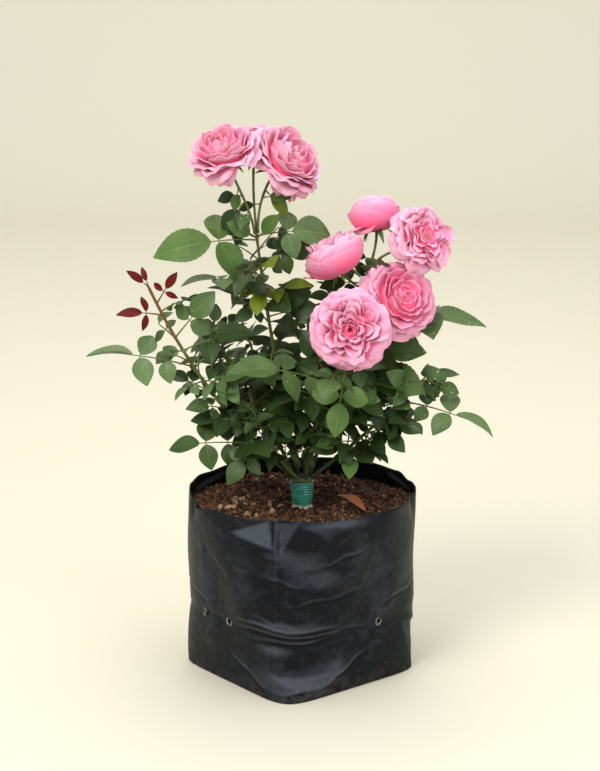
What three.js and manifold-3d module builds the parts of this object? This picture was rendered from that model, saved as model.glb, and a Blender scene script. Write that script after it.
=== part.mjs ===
// A patio rose grafted on a short stock, grown in a black film grow bag.
// Millimetres, +Z up. The origin is the middle of the bag's flat underside; -Y is the front.
import * as THREE from "three";
import { mergeVertices } from "three/addons/utils/BufferGeometryUtils.js";
import Module from "manifold-3d";

const wasm = await Module();
wasm.setup();

// Driving sizes
const GAP = 0.3; // air between neighbouring pieces

const BAG_HEIGHT = 187.5;
const BAG_RADIUS = 115; // at the round rim
const BAG_CORNER = 118; // from the middle to a corner of the square folded bottom
const BAG_SQUARE = 7; // squareness of the bottom, 2 being round
const BAG_SHIFT = -2.5; // the bottom lies a little to the left of the rim
const BAG_TURN = 39; // degrees from +X to the middle of one side of the bottom
const BAG_WALL = 1.5;
const BAG_SIDES = 26;
const RIM_WAVE = 1; // rise and fall of the rim
const CREASE_HEIGHT = 66; // the fold that runs round the front
const HOLE_RADIUS = 2.6; // drain holes
const HOLE_HEIGHT = 68;
const HOLE_ANGLES = [200, 222.5, 321, 39, 137.5, 160];

const SOIL_MIDDLE = 167; // soil level at the stock
const SOIL_EDGE = 178; // soil level at the bag

const STOCK_FOOT = 11.6; // radius of the flat cut at soil level
const STOCK_LOW = 8.7; // radius under the foot of the tape
const STOCK_HIGH = 10.1; // radius under the top of the tape
const STOCK_HEAD = 11.5; // radius of the swollen head
const STOCK_TOP = 199.3;
const TAPE_LOW = 172;
const TAPE_HIGH = 195.4;
const TAPE_WALL = 1.4;
const TAPE_TURNS = 4;

const CANE_RING = 8.2; // circle on the stock's head where the canes stand
const CANE_FOOT = 2.9; // radius of a cane at its foot
const CANE_TIP = 2; // radius of a shoot at its tip
const FORK = 3.2; // radius of a shoot's tip where several blossom stalks stand
const BRANCH = 1.6; // radius of a branch shoot at its foot
const TWIG = 1.5; // radius of a side twig
const LEAF_THICK = 0.032; // of its length
const LEAF_ARCH = 0.06; // rise of a leaf's middle, of its length
const LEAF_WIDTH = 0.6; // of its length
const STALK = 0.9; // half the width of a leaf's stalk
const BLOSSOM_STALK = 1.2; // radius of a blossom's stalk
const FORK_OFFSET = 2.15; // from a fork's middle to a stalk that stands on it
const PAIR_SPREAD = 76; // degrees from the stalk to a side leaflet
const SPIRAL = 137.5; // degrees from one leaf to the next round a stem
const CROWN = { middle: [0, 0, 318], reach: [150, 140, 140] };

// Leaf forms by the number of leaflets. A pair is its place on the leaf and its length, and "end" is
// where the last leaflet starts, all as shares of the whole leaf.
const LEAF_FORMS = {
  1: { pairs: [], end: 0.22 },
  3: { pairs: [[0.4, 0.38]], end: 0.48 },
  5: { pairs: [[0.27, 0.25], [0.5, 0.36]], end: 0.58 },
};

// Shoots. "ring" is where a shoot stands on the stock's head, or "from" is the shoot and share it
// springs from. It bends by one control point to its tip. Up to the share "bare" it is a cane, and
// above that the stem of a leaf mass. Each placed leaf is its share along the shoot, azimuth, rise,
// length, leaflets and the lean of its blade to the front. "fill" adds leaves in a spiral: number,
// first share, first and last length. "twigs" adds side twigs with leaves: number and length.
const SHOOTS = {
  left_arch: {
    ring: 205, bend: [-97, -14, 278], tip: [-149, -40, 403], bare: 0.47,
    leaves: [
      [0.64, -176, 10, 107, 5, 50], [0.78, -5, 50, 61, 3, 70], [0.57, -146, -22, 37, 3, 10],
      [0.88, -160, 7, 47, 3, 60], [0.93, 6, 57, 37, 3, 60], [1, -153, 39, 29, 1, 60],
      [1, 139, 64, 21, 1, 60], [0.5, -48, 31, 78, 5, 50], [0.57, -50, -1, 55, 3, 45],
    ],
    fill: [2, 0.52, 60, 50], twigs: [0, 0],
  },
  inner_left: {
    ring: 160, bend: [-34, 6, 262], tip: [-97, 15, 352], bare: 0.16,
    leaves: [
      [1, -160, 47, 30, 3, 60], [0.93, 69, 79, 35, 3, 50], [0.77, -163, 16, 40, 3, 45],
      [0.85, 153, -20, 28, 3, 30], [0.65, -47, 43, 55, 5, 50],
    ],
    fill: [6, 0.18, 65, 45], twigs: [1, 45],
  },
  tall: {
    ring: 115, bend: [-34, 4, 349], tip: [-45, 0, 450], bare: 0.52,
    leaves: [
      [0.96, -166, -8, 105, 3, 55], [0.97, 147, 10, 41, 3, 60], [0.98, 12, 0, 76, 3, 50],
      [0.965, -29, 46, 36, 1, 60], [0.97, -153, 29, 37, 1, 60], [0.73, -164, 6, 80, 5, 25],
      [0.82, -79, 15, 54, 3, 50], [0.86, 21, 9, 58, 3, 60], [0.7, -31, 19, 56, 3, 20],
      [0.77, -97, -30, 39, 3, 60], [0.61, -20, 14, 55, 3, 60], [0.66, -141, -14, 41, 3, 60],
      [0.79, -151, 14, 38, 3, 50],
    ],
    fill: [3, 0.56, 75, 60], twigs: [0, 0],
  },
  back: {
    ring: 70, bend: [8, 38, 270], tip: [6, 84, 352], bare: 0.16,
    leaves: [],
    fill: [7, 0.2, 75, 60], twigs: [1, 45],
  },
  right_upper: {
    ring: 25, bend: [40, 10, 300], tip: [68, 2, 415], bare: 0.16,
    leaves: [
      [0.72, 2, 1, 133, 5, 35], [0.92, -164, 2, 48, 3, 40], [0.94, -138, 46, 28, 1, 50],
      [0.8, 172, -2, 37, 5, 60],
    ],
    fill: [7, 0.18, 75, 50], twigs: [1, 45],
  },
  right_low: {
    ring: 340, bend: [60, -6, 240], tip: [120, -10, 302], bare: 0.2,
    leaves: [
      [0.82, -10, -19, 99, 5, 55], [1, -16, -16, 39, 3, 60], [0.93, 14, 18, 50, 3, 30],
      [0.88, -112, 32, 67, 5, 60], [0.67, -41, -8, 50, 3, 60], [0.62, -47, -31, 44, 3, 65],
      [0.51, -80, -34, 39, 3, 60], [0.4, -96, -29, 49, 3, 60], [0.98, -64, 31, 42, 3, 60],
    ],
    fill: [4, 0.24, 60, 50], twigs: [1, 40],
  },
  front: {
    ring: 295, bend: [14, -30, 290], tip: [43, -62, 338], bare: 0.12,
    leaves: [
      [0.7, -157, 14, 108, 5, 60], [1, -108, -62, 80, 3, 80], [0.71, 160, 61, 61, 3, 60],
      [0.35, -120, -12, 39, 5, 60],
    ],
    fill: [5, 0.15, 60, 50], twigs: [1, 40],
  },
  low_left: {
    ring: 250, bend: [-34, -18, 228], tip: [-52, -48, 300], bare: 0.14,
    leaves: [
      [0.5, -173, 1, 103, 5, 60], [0.6, -140, -38, 64, 5, 60], [0.77, 155, -8, 50, 3, 50],
      [0.89, -108, 5, 40, 5, 60],
    ],
    fill: [4, 0.18, 55, 45], twigs: [0, 0],
  },
  back_left: {
    from: ["inner_left", 0.24], bend: [-36, 50, 275], tip: [-62, 76, 345], bare: 0,
    leaves: [],
    fill: [5, 0.15, 75, 55], twigs: [1, 40],
  },
  back_right: {
    from: ["right_upper", 0.24], bend: [48, 46, 270], tip: [82, 66, 335], bare: 0,
    leaves: [],
    fill: [5, 0.15, 75, 55], twigs: [1, 40],
  },
};

// Blossoms: shoot, share where the stalk leaves it, middle, azimuth and rise it faces, radius, form,
// and the turn of the stalk's foot round the shoot.
const BLOSSOMS = {
  top_left: ["tall", 1, [-71, -14, 530], -122, 49, 38, "open", 20],
  top_right: ["tall", 1, [-13, 8, 521], -48, 48, 34, "open", -45],
  top_back: ["tall", 1, [-49, 60, 520], 85, 52, 26, "open", 0],
  bud: ["right_upper", 1, [71, 16, 466], 121, 73, 25, "cup", 0],
  right: ["right_upper", 1, [120, -12, 446], -52, 27, 34, "open", 0],
  cup: ["right_upper", 0.88, [31, -20, 430], -150, 66, 29, "cup", 0],
  middle: ["right_upper", 0.74, [97, -30, 390], -59, 27, 38, "open", 0],
  front: ["front", 1, [46, -82, 370], -90, 14, 40, "open", 0],
};

// A blossom's outline from its calyx over the petal rings to its heart. Each row is the distance
// from the axis and height in radii, and the size of the petal waves in both; a negative size sets
// the waves between those of the next ring.
const PETAL_WAVES = 6;
const BLOSSOM_ROWS = {
  open: [
    [0, -0.52, 0], [0.15, -0.5, 0], [0.62, -0.36, 0], [1, -0.14, 0.035], [0.84, 0, -0.03],
    [0.82, 0.16, -0.07], [0.56, 0.1, 0], [0.52, 0.32, 0.07], [0.26, 0.2, 0], [0, 0.34, 0],
  ],
  cup: [
    [0, -0.66, 0], [0.13, -0.64, 0], [0.66, -0.46, 0], [1, -0.02, 0.02], [0.98, 0.34, 0.04],
    [0.78, 0.6, -0.06], [0.56, 0.5, 0], [0.44, 0.7, 0.06], [0, 0.62, 0],
  ],
};
// Outer petals that hang away from a blossom: turn about its axis, angle below its face, length.
const HANGING = {
  top_left: [[215, -50, 1.15]], top_right: [[285, -42, 1.2], [250, -48, 1.1]],
  bud: [[170, -12, 1.35]],
};

const COLOURS = {
  film: 0x24262b, soil: 0x4a2a1e, bark: 0x6f6a3c, tape: 0x0f7a68, cane: 0x55702f,
  leaf: 0x35602f, petal: 0xe58cab,
};

const deg = THREE.MathUtils.degToRad;
const vec = (p) => new THREE.Vector3(p[0], p[1], p[2]);

// Seeded draws between 0 and 1, the same on every run.
function dice(seed) {
  let state = Math.imul(seed + 1, 2654435761) >>> 0;
  return () => {
    state = (Math.imul(state, 1664525) + 1013904223) >>> 0;
    return state / 4294967296;
  };
}

// A unit vector from an azimuth and a rise in degrees.
function heading(azimuth, rise) {
  const a = deg(azimuth);
  const r = deg(rise);
  return new THREE.Vector3(Math.cos(r) * Math.cos(a), Math.cos(r) * Math.sin(a), Math.sin(r));
}

// The part of "v" square to "axis", as a unit vector.
function squared(v, axis) {
  return v.clone().addScaledVector(axis, -v.dot(axis)).normalize();
}

// A closed solid from a geometry whose vertices are moved by "move".
function solid(geometry, move) {
  const g = new THREE.BufferGeometry();
  const from = geometry.getAttribute("position");
  const moved = new Float32Array(from.count * 3);
  const v = new THREE.Vector3();
  for (let i = 0; i < from.count; i++) {
    v.fromBufferAttribute(from, i);
    move(v, i).toArray(moved, i * 3);
  }
  g.setAttribute("position", new THREE.BufferAttribute(moved, 3));
  g.setIndex(geometry.index);
  const merged = mergeVertices(g, 1e-3);
  const corners = [];
  const index = merged.index.array;
  for (let i = 0; i < index.length; i += 3) {
    const [a, b, c] = index.slice(i, i + 3);
    if (a !== b && b !== c && c !== a) corners.push(a, b, c);
  }
  const vertProperties = merged.attributes.position.array;
  const build = (triVerts) => new wasm.Manifold(new wasm.Mesh({ numProp: 3, vertProperties, triVerts }));
  const made = build(new Uint32Array(corners));
  return made.volume() > 0 ? made : build(new Uint32Array(corners.reverse()));
}

// A tapering limb along a curve, between two shares of it. A standing limb has a level foot.
function limb(curve, first, last, rootRadius, tipRadius, sides, steps, standing) {
  const tube = new THREE.CylinderGeometry(1, 1, 1, sides, steps);
  const frames = curve.computeFrenetFrames(steps * 4);
  return solid(tube, (v) => {
    const share = Math.min(1, Math.max(0, v.y + 0.5));
    const k = Math.round(share * steps * 4);
    const t = first + (last - first) * share;
    const radius = rootRadius + (tipRadius - rootRadius) * share;
    const tangent = standing && share === 0 ? new THREE.Vector3(0, 0, 1) : curve.getTangent(t);
    const across = squared(frames.normals[k], tangent);
    const other = new THREE.Vector3().crossVectors(tangent, across);
    return curve.getPoint(t).addScaledVector(across, v.x * radius).addScaledVector(other, v.z * radius);
  });
}

// A thin petal: a six-cornered outline with a raised middle.
function petal(root, dir, normal, length, width, thick) {
  const side = new THREE.Vector3().crossVectors(dir, normal);
  return solid(new THREE.SphereGeometry(1, 6, 2), (v) => {
    const across = Math.abs(v.y) < 0.5 ? v.z : 0;
    const along = Math.abs(v.y) < 0.5 ? 0.5 + 0.5 * v.x : 0.5;
    return root.clone()
      .addScaledVector(dir, along * length)
      .addScaledVector(side, (across * width) / 1.7)
      .addScaledVector(normal, Math.abs(v.y) < 0.5 ? 0 : v.y * thick - 1);
  });
}

// A compound leaf: the points of its stalk, and the root, direction, upper side and length of each
// leaflet, a pair at a time from the stalk's foot, the end leaflet last.
function leafPlan(root, azimuth, rise, length, leaflets, upward, draw) {
  const dir = heading(azimuth, rise);
  const normal = squared(upward, dir);
  const side = new THREE.Vector3().crossVectors(dir, normal);
  const point = (s) => root.clone()
    .addScaledVector(dir, length * s)
    .addScaledVector(normal, 4 * s * (1 - s) * LEAF_ARCH * length);
  const form = LEAF_FORMS[leaflets];
  const plan = [];
  for (const [place, size] of form.pairs) {
    for (const hand of [1, -1]) {
      const spread = deg(PAIR_SPREAD + 12 * (draw() - 0.5));
      const droop = 0.05 + 0.25 * draw();
      const aim = dir.clone().multiplyScalar(Math.cos(spread))
        .addScaledVector(side, hand * Math.sin(spread))
        .addScaledVector(normal, -droop)
        .normalize();
      const long = size * length * (0.92 + 0.16 * draw());
      plan.push({ place, root: point(place), dir: aim, normal: squared(normal, aim), length: long });
    }
  }
  const start = point(form.end);
  const last = point(1).sub(start);
  const aim = last.clone().normalize();
  plan.push({
    place: form.end, root: start, dir: aim, normal: squared(normal, aim), length: last.length(),
  });
  return { point, side, normal, plan };
}

// A leaflet's side, square to its direction and upper side.
const leafletSide = ({ dir, normal }) => new THREE.Vector3().crossVectors(normal, dir);

// The corners of a leaflet beyond its root: one side, top, other side and bottom at its widest, and
// its tip.
function leafletCorners(leaflet) {
  const { root, dir, normal, length } = leaflet;
  const side = leafletSide(leaflet);
  const half = (LEAF_WIDTH * length) / 2;
  const thick = Math.max(1.1, LEAF_THICK * length) / 2;
  const middle = root.clone().addScaledVector(dir, 0.42 * length);
  return [
    middle.clone().addScaledVector(side, half),
    middle.clone().addScaledVector(normal, thick),
    middle.clone().addScaledVector(side, -half),
    middle.clone().addScaledVector(normal, -thick),
    root.clone().addScaledVector(dir, length),
  ];
}

// Vertices and faces gathered for one closed mesh.
class Skin {
  constructor() {
    this.vertices = [];
    this.faces = [];
  }
  add(v) {
    this.vertices.push(v.x, v.y, v.z);
    return this.vertices.length / 3 - 1;
  }
  quad(a, b, c, d) {
    this.faces.push(a, b, c, a, c, d);
  }
  // A leaflet drawn out of four root corners: side and top, side and bottom, then the other side's
  // bottom and top.
  drawOut(leaflet, [su, sd, od, ou]) {
    const [s, u, o, d, tip] = leafletCorners(leaflet).map((v) => this.add(v));
    this.faces.push(su, sd, s, sd, d, s, sd, od, d, od, o, d, od, ou, o, ou, u, o, ou, su, u, su, s, u);
    this.faces.push(s, d, tip, d, o, tip, o, u, tip, u, s, tip);
  }
  solid() {
    const geometry = new THREE.BufferGeometry();
    geometry.setAttribute("position", new THREE.BufferAttribute(new Float32Array(this.vertices), 3));
    geometry.setIndex(this.faces);
    return solid(geometry, (v) => v);
  }
}

// One leaflet closed at its root.
function leafletSolid(leaflet) {
  const skin = new Skin();
  const near = leaflet.root.clone().addScaledVector(leaflet.dir, 1.2 * STALK);
  const side = leafletSide(leaflet);
  const corners = [[1, 1], [1, -1], [-1, -1], [-1, 1]].map(([i, j]) => skin.add(near.clone()
    .addScaledVector(side, i * STALK)
    .addScaledVector(leaflet.normal, j * STALK * 0.8)));
  skin.quad(corners[0], corners[3], corners[2], corners[1]);
  skin.drawOut(leaflet, corners);
  return skin.solid();
}

// A whole leaf: a four-sided stalk with the kept leaflets drawn out of its sides and its end.
function leafSolid({ point, side, normal, plan }, kept) {
  const skin = new Skin();
  const ring = (s, size) => [[1, 1], [1, -1], [-1, -1], [-1, 1]].map(([i, j]) => skin.add(point(s)
    .addScaledVector(side, i * STALK * size)
    .addScaledVector(normal, j * STALK * 0.8 * size)));
  const bridge = (from, to, right, left) => {
    skin.quad(from[0], from[3], to[3], to[0]);
    skin.quad(from[2], from[1], to[1], to[2]);
    if (right) skin.quad(from[1], from[0], to[0], to[1]);
    if (left) skin.quad(from[3], from[2], to[2], to[3]);
  };
  const step = (1.1 * STALK) / point(1).distanceTo(point(0));
  let last = ring(0, 1.1);
  skin.quad(last[0], last[1], last[2], last[3]);
  for (let i = 0; i + 1 < plan.length; i += 2) {
    const near = ring(plan[i].place - step, 1);
    const far = ring(plan[i].place + step, 0.9);
    const [right, left] = [kept.includes(plan[i]), kept.includes(plan[i + 1])];
    bridge(last, near, true, true);
    bridge(near, far, !right, !left);
    if (right) skin.drawOut(plan[i], [far[0], far[1], near[1], near[0]]);
    if (left) skin.drawOut(plan[i + 1], [near[3], near[2], far[2], far[3]]);
    last = far;
  }
  const end = plan[plan.length - 1];
  const close = ring(end.place, 0.75);
  bridge(last, close, true, true);
  if (kept.includes(end)) skin.drawOut(end, [close[3], close[2], close[1], close[0]]);
  else skin.quad(close[3], close[2], close[1], close[0]);
  return skin.solid();
}

// Everything placed so far, with its node and its box, for the test of free space.
const placed = [];

// Stems and stalks may be crossed by leaves of their own mass; leaflets may not.
function put(node, made, crossed = false) {
  placed.push({ node, made, crossed, box: made.boundingBox() });
  return made;
}

function isFree(node, made) {
  const { min, max } = made.boundingBox();
  return placed.every((other) => {
    for (let i = 0; i < 3; i++) {
      if (other.box.min[i] > max[i] + GAP || other.box.max[i] < min[i] - GAP) return true;
    }
    if (other.node === node) return other.crossed || made.intersect(other.made).volume() < 0.01;
    return made.minGap(other.made, GAP * 2) >= GAP;
  });
}

const joined = (list) => list.reduce((a, b) => a.add(b));

// The bag's outer radius at an angle and a height: square below, round above.
function bagRadius(angle, z) {
  const low = Math.min(1, Math.max(0, 1 - z / BAG_HEIGHT));
  const power = 2 + (BAG_SQUARE - 2) * Math.pow(low, 2.2);
  const corner = BAG_RADIUS + (BAG_CORNER - BAG_RADIUS) * low;
  const half = (corner * Math.pow(2, 1 / power)) / Math.SQRT2;
  const a = angle - deg(BAG_TURN);
  const sum = Math.pow(Math.abs(Math.cos(a)), power) + Math.pow(Math.abs(Math.sin(a)), power);
  const crease = 1.2 * Math.exp(-Math.pow((z - CREASE_HEIGHT) / 7, 2));
  return half / Math.pow(sum, 1 / power) - crease;
}

const bagShift = (z) => BAG_SHIFT * Math.max(0, 1 - z / BAG_HEIGHT);

// A turned body from rows of share of the bag's radius, inset from it and height.
function bagBody(rows, height) {
  const outline = rows.map(([share, , z]) => new THREE.Vector2(share, z));
  const turned = new THREE.LatheGeometry(outline, BAG_SIDES);
  return solid(turned, (v, i) => {
    const [share, inset, z] = rows[i % rows.length];
    const turn = Math.floor(i / rows.length) % BAG_SIDES;
    const angle = (turn / BAG_SIDES) * 2 * Math.PI;
    const radius = share * (bagRadius(angle, z) - inset);
    const x = radius * Math.cos(angle) + bagShift(z);
    const y = radius * Math.sin(angle);
    return v.set(x, y, height(share, angle, z));
  });
}

const LEVELS = [4, 22, 54, 66, 80, 130, SOIL_EDGE];

// The rows of a body that follows the bag's wall at an inset, from the bottom to the last level.
function wallRows(inset) {
  const rows = [[0, inset, inset], [inset ? 0.95 : 0.97, inset, inset]];
  for (const z of LEVELS) rows.push([1, inset, z]);
  return rows;
}

function growBag() {
  const skin = wallRows(0);
  skin.push([1, 0, BAG_HEIGHT], [0, 0, BAG_HEIGHT]);
  const hollow = wallRows(BAG_WALL);
  hollow.push([1, BAG_WALL, BAG_HEIGHT], [1, BAG_WALL, BAG_HEIGHT + 9], [0, 0, BAG_HEIGHT + 9]);
  const rim = (share, angle, z) => {
    const wave = Math.sin(3 * angle + 0.6) + 0.5 * Math.sin(7 * angle);
    return z < BAG_HEIGHT ? z : z + RIM_WAVE * wave * share;
  };
  let bag = bagBody(skin, rim).subtract(bagBody(hollow, (share, angle, z) => z));
  for (const turn of HOLE_ANGLES) {
    const out = heading(turn, 0);
    const middle = out.clone().multiplyScalar(bagRadius(deg(turn), HOLE_HEIGHT)).setZ(HOLE_HEIGHT);
    middle.x += bagShift(HOLE_HEIGHT);
    const pin = new THREE.CylinderGeometry(HOLE_RADIUS, HOLE_RADIUS, 12, 8);
    const turned = new THREE.Quaternion().setFromUnitVectors(new THREE.Vector3(0, 1, 0), out);
    bag = bag.subtract(solid(pin, (v) => v.applyQuaternion(turned).add(middle)));
  }
  return bag;
}

function pottingSoil() {
  const inset = BAG_WALL + GAP;
  const rows = wallRows(inset);
  for (const share of [0.82, 0.56, 0.32, 0.13, 0]) rows.push([share, inset, SOIL_EDGE + share]);
  return bagBody(rows, (share, angle, z) => {
    if (z < SOIL_EDGE) return z;
    const dish = Math.max(0, (share - 0.13) / 0.87);
    const bumps = share > 0.2 && share < 1 ? 1.6 * Math.sin(3 * angle + 9 * share) : 0;
    return SOIL_MIDDLE + (SOIL_EDGE - SOIL_MIDDLE) * Math.pow(dish, 1.3) + bumps;
  });
}

function turnedBody(outline, sides) {
  const turned = new THREE.LatheGeometry(outline.map(([r, z]) => new THREE.Vector2(r, z)), sides);
  return solid(turned, (v) => v.set(v.x, -v.z, v.y));
}

// The stock's radius under the tape.
function stockRadius(z) {
  return STOCK_LOW + ((STOCK_HIGH - STOCK_LOW) * (z - TAPE_LOW)) / (TAPE_HIGH - TAPE_LOW);
}

function rootstock() {
  const foot = SOIL_MIDDLE + GAP;
  return turnedBody([
    [0, foot], [STOCK_FOOT, foot], [STOCK_LOW + 1, foot + 2.2], [STOCK_LOW, TAPE_LOW - 0.6],
    [stockRadius(TAPE_LOW), TAPE_LOW], [stockRadius(TAPE_HIGH), TAPE_HIGH],
    [STOCK_HEAD, TAPE_HIGH + 1.6], [STOCK_HEAD, STOCK_TOP - 0.8], [STOCK_HEAD - 0.5, STOCK_TOP],
    [0, STOCK_TOP],
  ], 14);
}

function graftingTape() {
  const outline = [[stockRadius(TAPE_LOW) + GAP, TAPE_LOW]];
  const steps = TAPE_TURNS * 2;
  for (let i = 0; i <= steps; i++) {
    const z = TAPE_LOW + ((TAPE_HIGH - TAPE_LOW) * i) / steps;
    outline.push([stockRadius(z) + GAP + TAPE_WALL + (i % 2 ? 0.5 : 0), z]);
  }
  outline.push([stockRadius(TAPE_HIGH) + GAP, TAPE_HIGH], outline[0]);
  return turnedBody(outline, 14);
}

// The curve of a shoot. Its foot stands on the stock or beside the cane that it springs from.
function shootCurve(shoot) {
  let foot;
  if (shoot.from) {
    const [parent, share] = shoot.from;
    const start = shootCurve(SHOOTS[parent]).getPoint(share);
    const out = squared(vec(shoot.bend).sub(start), new THREE.Vector3(0, 0, 1));
    foot = start.addScaledVector(out, CANE_FOOT + GAP + BRANCH / 2);
  } else {
    foot = heading(shoot.ring, 0).multiplyScalar(CANE_RING).setZ(STOCK_TOP + GAP);
  }
  return new THREE.QuadraticBezierCurve3(foot, vec(shoot.bend), vec(shoot.tip));
}

const shootRadius = (share) => CANE_FOOT + (CANE_TIP - CANE_FOOT) * share;

// Where a filling leaf's blade looks: up and out from the crown's middle.
function outward(point) {
  return new THREE.Vector3(point.x, point.y, 0).normalize().multiplyScalar(0.8).setZ(0.75);
}

function insideCrown(point) {
  const away = point.clone().sub(vec(CROWN.middle)).divide(vec(CROWN.reach));
  return away.length() < 1 && point.z > 190;
}

// The curve of a shoot, its leaves as rows of root, azimuth, rise, length, leaflets and upper side,
// and its twigs as curves. Filling leaves keep inside the crown.
function shootPlan(shoot, number) {
  const curve = shootCurve(shoot);
  const rows = [];
  for (const [share, azimuth, rise, length, leaflets, lean] of shoot.leaves) {
    const up = new THREE.Vector3(0, -Math.sin(deg(lean)), Math.cos(deg(lean)));
    rows.push({ root: curve.getPoint(share), azimuth, rise, length, leaflets, up, filling: false });
  }
  const twigs = [];
  const [twigCount, twigLength] = shoot.twigs;
  for (let i = 0; i < twigCount; i++) {
    const draw = dice(number * 100 + 50 + i);
    const share = shoot.bare + 0.12 + (0.5 * i) / twigCount;
    const root = curve.getPoint(share);
    const azimuth = number * 70 + i * 160 + 50 * draw();
    const tip = root.clone().addScaledVector(heading(azimuth, 30), twigLength);
    const bend = root.clone().addScaledVector(heading(azimuth, 10), twigLength * 0.5);
    const twig = new THREE.QuadraticBezierCurve3(root, bend, tip);
    twigs.push(twig);
    for (const [place, turn] of [[0.55, 70], [0.78, -70], [1, 0]]) {
      rows.push({
        root: twig.getPoint(place), azimuth: azimuth + turn, rise: 20 + 20 * draw(),
        length: twigLength * (1.05 + 0.25 * draw()), leaflets: 5, up: outward(tip), filling: true,
      });
    }
  }
  const [count, first, long, short] = shoot.fill;
  for (let i = 0; i < count; i++) {
    const draw = dice(number * 100 + i);
    const share = first + ((0.98 - first) * (i + 0.5)) / count;
    const root = curve.getPoint(share);
    const azimuth = number * 47 + i * SPIRAL + 30 * draw();
    const length = (long + ((short - long) * i) / count) * (0.9 + 0.2 * draw());
    const rise = 8 + 30 * draw();
    const far = root.clone().addScaledVector(heading(azimuth, rise), length);
    rows.push({ root, azimuth, rise, length, leaflets: 5, up: outward(far), filling: true });
  }
  return { curve, rows, twigs };
}

// One blossom with its stalk, its rings of petals and the petals that hang from it.
function blossom(name) {
  const [shootName, share, middle, azimuth, rise, radius, form, turned] = BLOSSOMS[name];
  const curve = shootCurve(SHOOTS[shootName]);
  const facing = heading(azimuth, rise);
  const centre = vec(middle);
  const right = squared(new THREE.Vector3(0, 0, 1), facing).cross(facing);
  const up = new THREE.Vector3().crossVectors(facing, right);
  const rows = BLOSSOM_ROWS[form];
  const back = centre.clone().addScaledVector(facing, rows[0][1] * radius);
  const start = curve.getPoint(share);
  const along = curve.getTangent(share);
  const away = squared(back.clone().sub(start), along).applyAxisAngle(along, deg(turned));
  if (share === 1) {
    start.addScaledVector(away, FORK_OFFSET).addScaledVector(along, GAP + 0.05);
  } else {
    start.addScaledVector(away, shootRadius(share) + 2 * GAP + BLOSSOM_STALK).addScaledVector(along, 1);
  }
  const leave = share === 1 ? along : away.clone().add(along).normalize();
  const reach = back.distanceTo(start);
  const stalk = new THREE.CubicBezierCurve3(
    start,
    start.clone().addScaledVector(leave, reach * 0.35),
    back.clone().addScaledVector(facing, -reach * 0.3),
    back.clone().addScaledVector(facing, 2.5),
  );
  const parts = [limb(stalk, 0, 1, BLOSSOM_STALK, BLOSSOM_STALK + 0.3, 5, 5)];
  const sides = PETAL_WAVES * 3;
  const ball = new THREE.LatheGeometry(rows.map(([r, h]) => new THREE.Vector2(r, h)), sides);
  parts.push(solid(ball, (v, i) => {
    const [far, high, wave] = rows[i % rows.length];
    const turn = (Math.floor(i / rows.length) % sides) / sides * 2 * Math.PI;
    const ripple = Math.abs(wave) * Math.cos(PETAL_WAVES * turn + (wave < 0 ? Math.PI * 0.67 : 0));
    return centre.clone()
      .addScaledVector(right, Math.cos(turn) * (far + ripple) * radius)
      .addScaledVector(up, Math.sin(turn) * (far + ripple) * radius)
      .addScaledVector(facing, (high + ripple) * radius);
  }));
  for (const [turn, tilt, long] of HANGING[name] || []) {
    const flat = right.clone().multiplyScalar(Math.cos(deg(turn))).addScaledVector(up, Math.sin(deg(turn)));
    const dir = flat.multiplyScalar(Math.cos(deg(tilt))).addScaledVector(facing, Math.sin(deg(tilt)));
    const root = centre.clone().addScaledVector(facing, -0.2 * radius).addScaledVector(dir, 0.3 * radius);
    const length = (long - 0.3) * radius;
    parts.push(petal(root, dir, squared(facing, dir), length, 0.8 * radius, 1.4));
  }
  return joined(parts);
}

const plant = new THREE.Group();

// A named mesh of one solid, without the slivers that joining leaves.
function addNode(name, made, colour, roughness) {
  const pieces = made.simplify(0.02).decompose();
  const body = pieces.sort((a, b) => b.volume() - a.volume())[0];
  const { vertProperties, triVerts } = body.getMesh();
  const geometry = new THREE.BufferGeometry();
  geometry.setAttribute("position", new THREE.BufferAttribute(vertProperties, 3));
  geometry.setIndex(new THREE.BufferAttribute(triVerts, 1));
  geometry.computeVertexNormals();
  const material = new THREE.MeshStandardMaterial({ color: colour, roughness, metalness: 0 });
  const node = new THREE.Mesh(geometry, material);
  node.name = name;
  plant.add(node);
}

addNode("grow_bag", put("grow_bag", growBag()), COLOURS.film, 0.45);
addNode("potting_soil", put("potting_soil", pottingSoil()), COLOURS.soil, 0.95);
addNode("rootstock", put("rootstock", rootstock()), COLOURS.bark, 0.85);
addNode("grafting_tape", put("grafting_tape", graftingTape()), COLOURS.tape, 0.4);

// Canes and stems
const masses = Object.keys(SHOOTS).map((name, number) => {
  const { bare } = SHOOTS[name];
  const { curve, rows, twigs } = shootPlan(SHOOTS[name], number);
  if (bare > 0) {
    const steps = Math.max(2, Math.round((curve.getLength() * bare) / 20));
    const cane = limb(curve, 0, bare, CANE_FOOT, shootRadius(bare), 6, steps, true);
    addNode(name + "_cane", put(name + "_cane", cane), COLOURS.cane, 0.6);
  }
  const start = bare > 0 ? bare + (GAP * 1.2) / curve.getLength() : 0;
  const stalks = Object.values(BLOSSOMS).filter(([from, share]) => from === name && share === 1).length;
  const root = bare > 0 ? shootRadius(bare) : BRANCH;
  const stem = limb(curve, start, 1, root, stalks > 1 ? FORK : CANE_TIP, 5, 6);
  return { name, number, rows, twigs, parts: [put(name, stem, true)] };
});

Object.keys(BLOSSOMS).forEach((key) => {
  const name = "blossom_" + key;
  addNode(name, put(name, blossom(key)), COLOURS.petal, 0.6);
});

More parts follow.
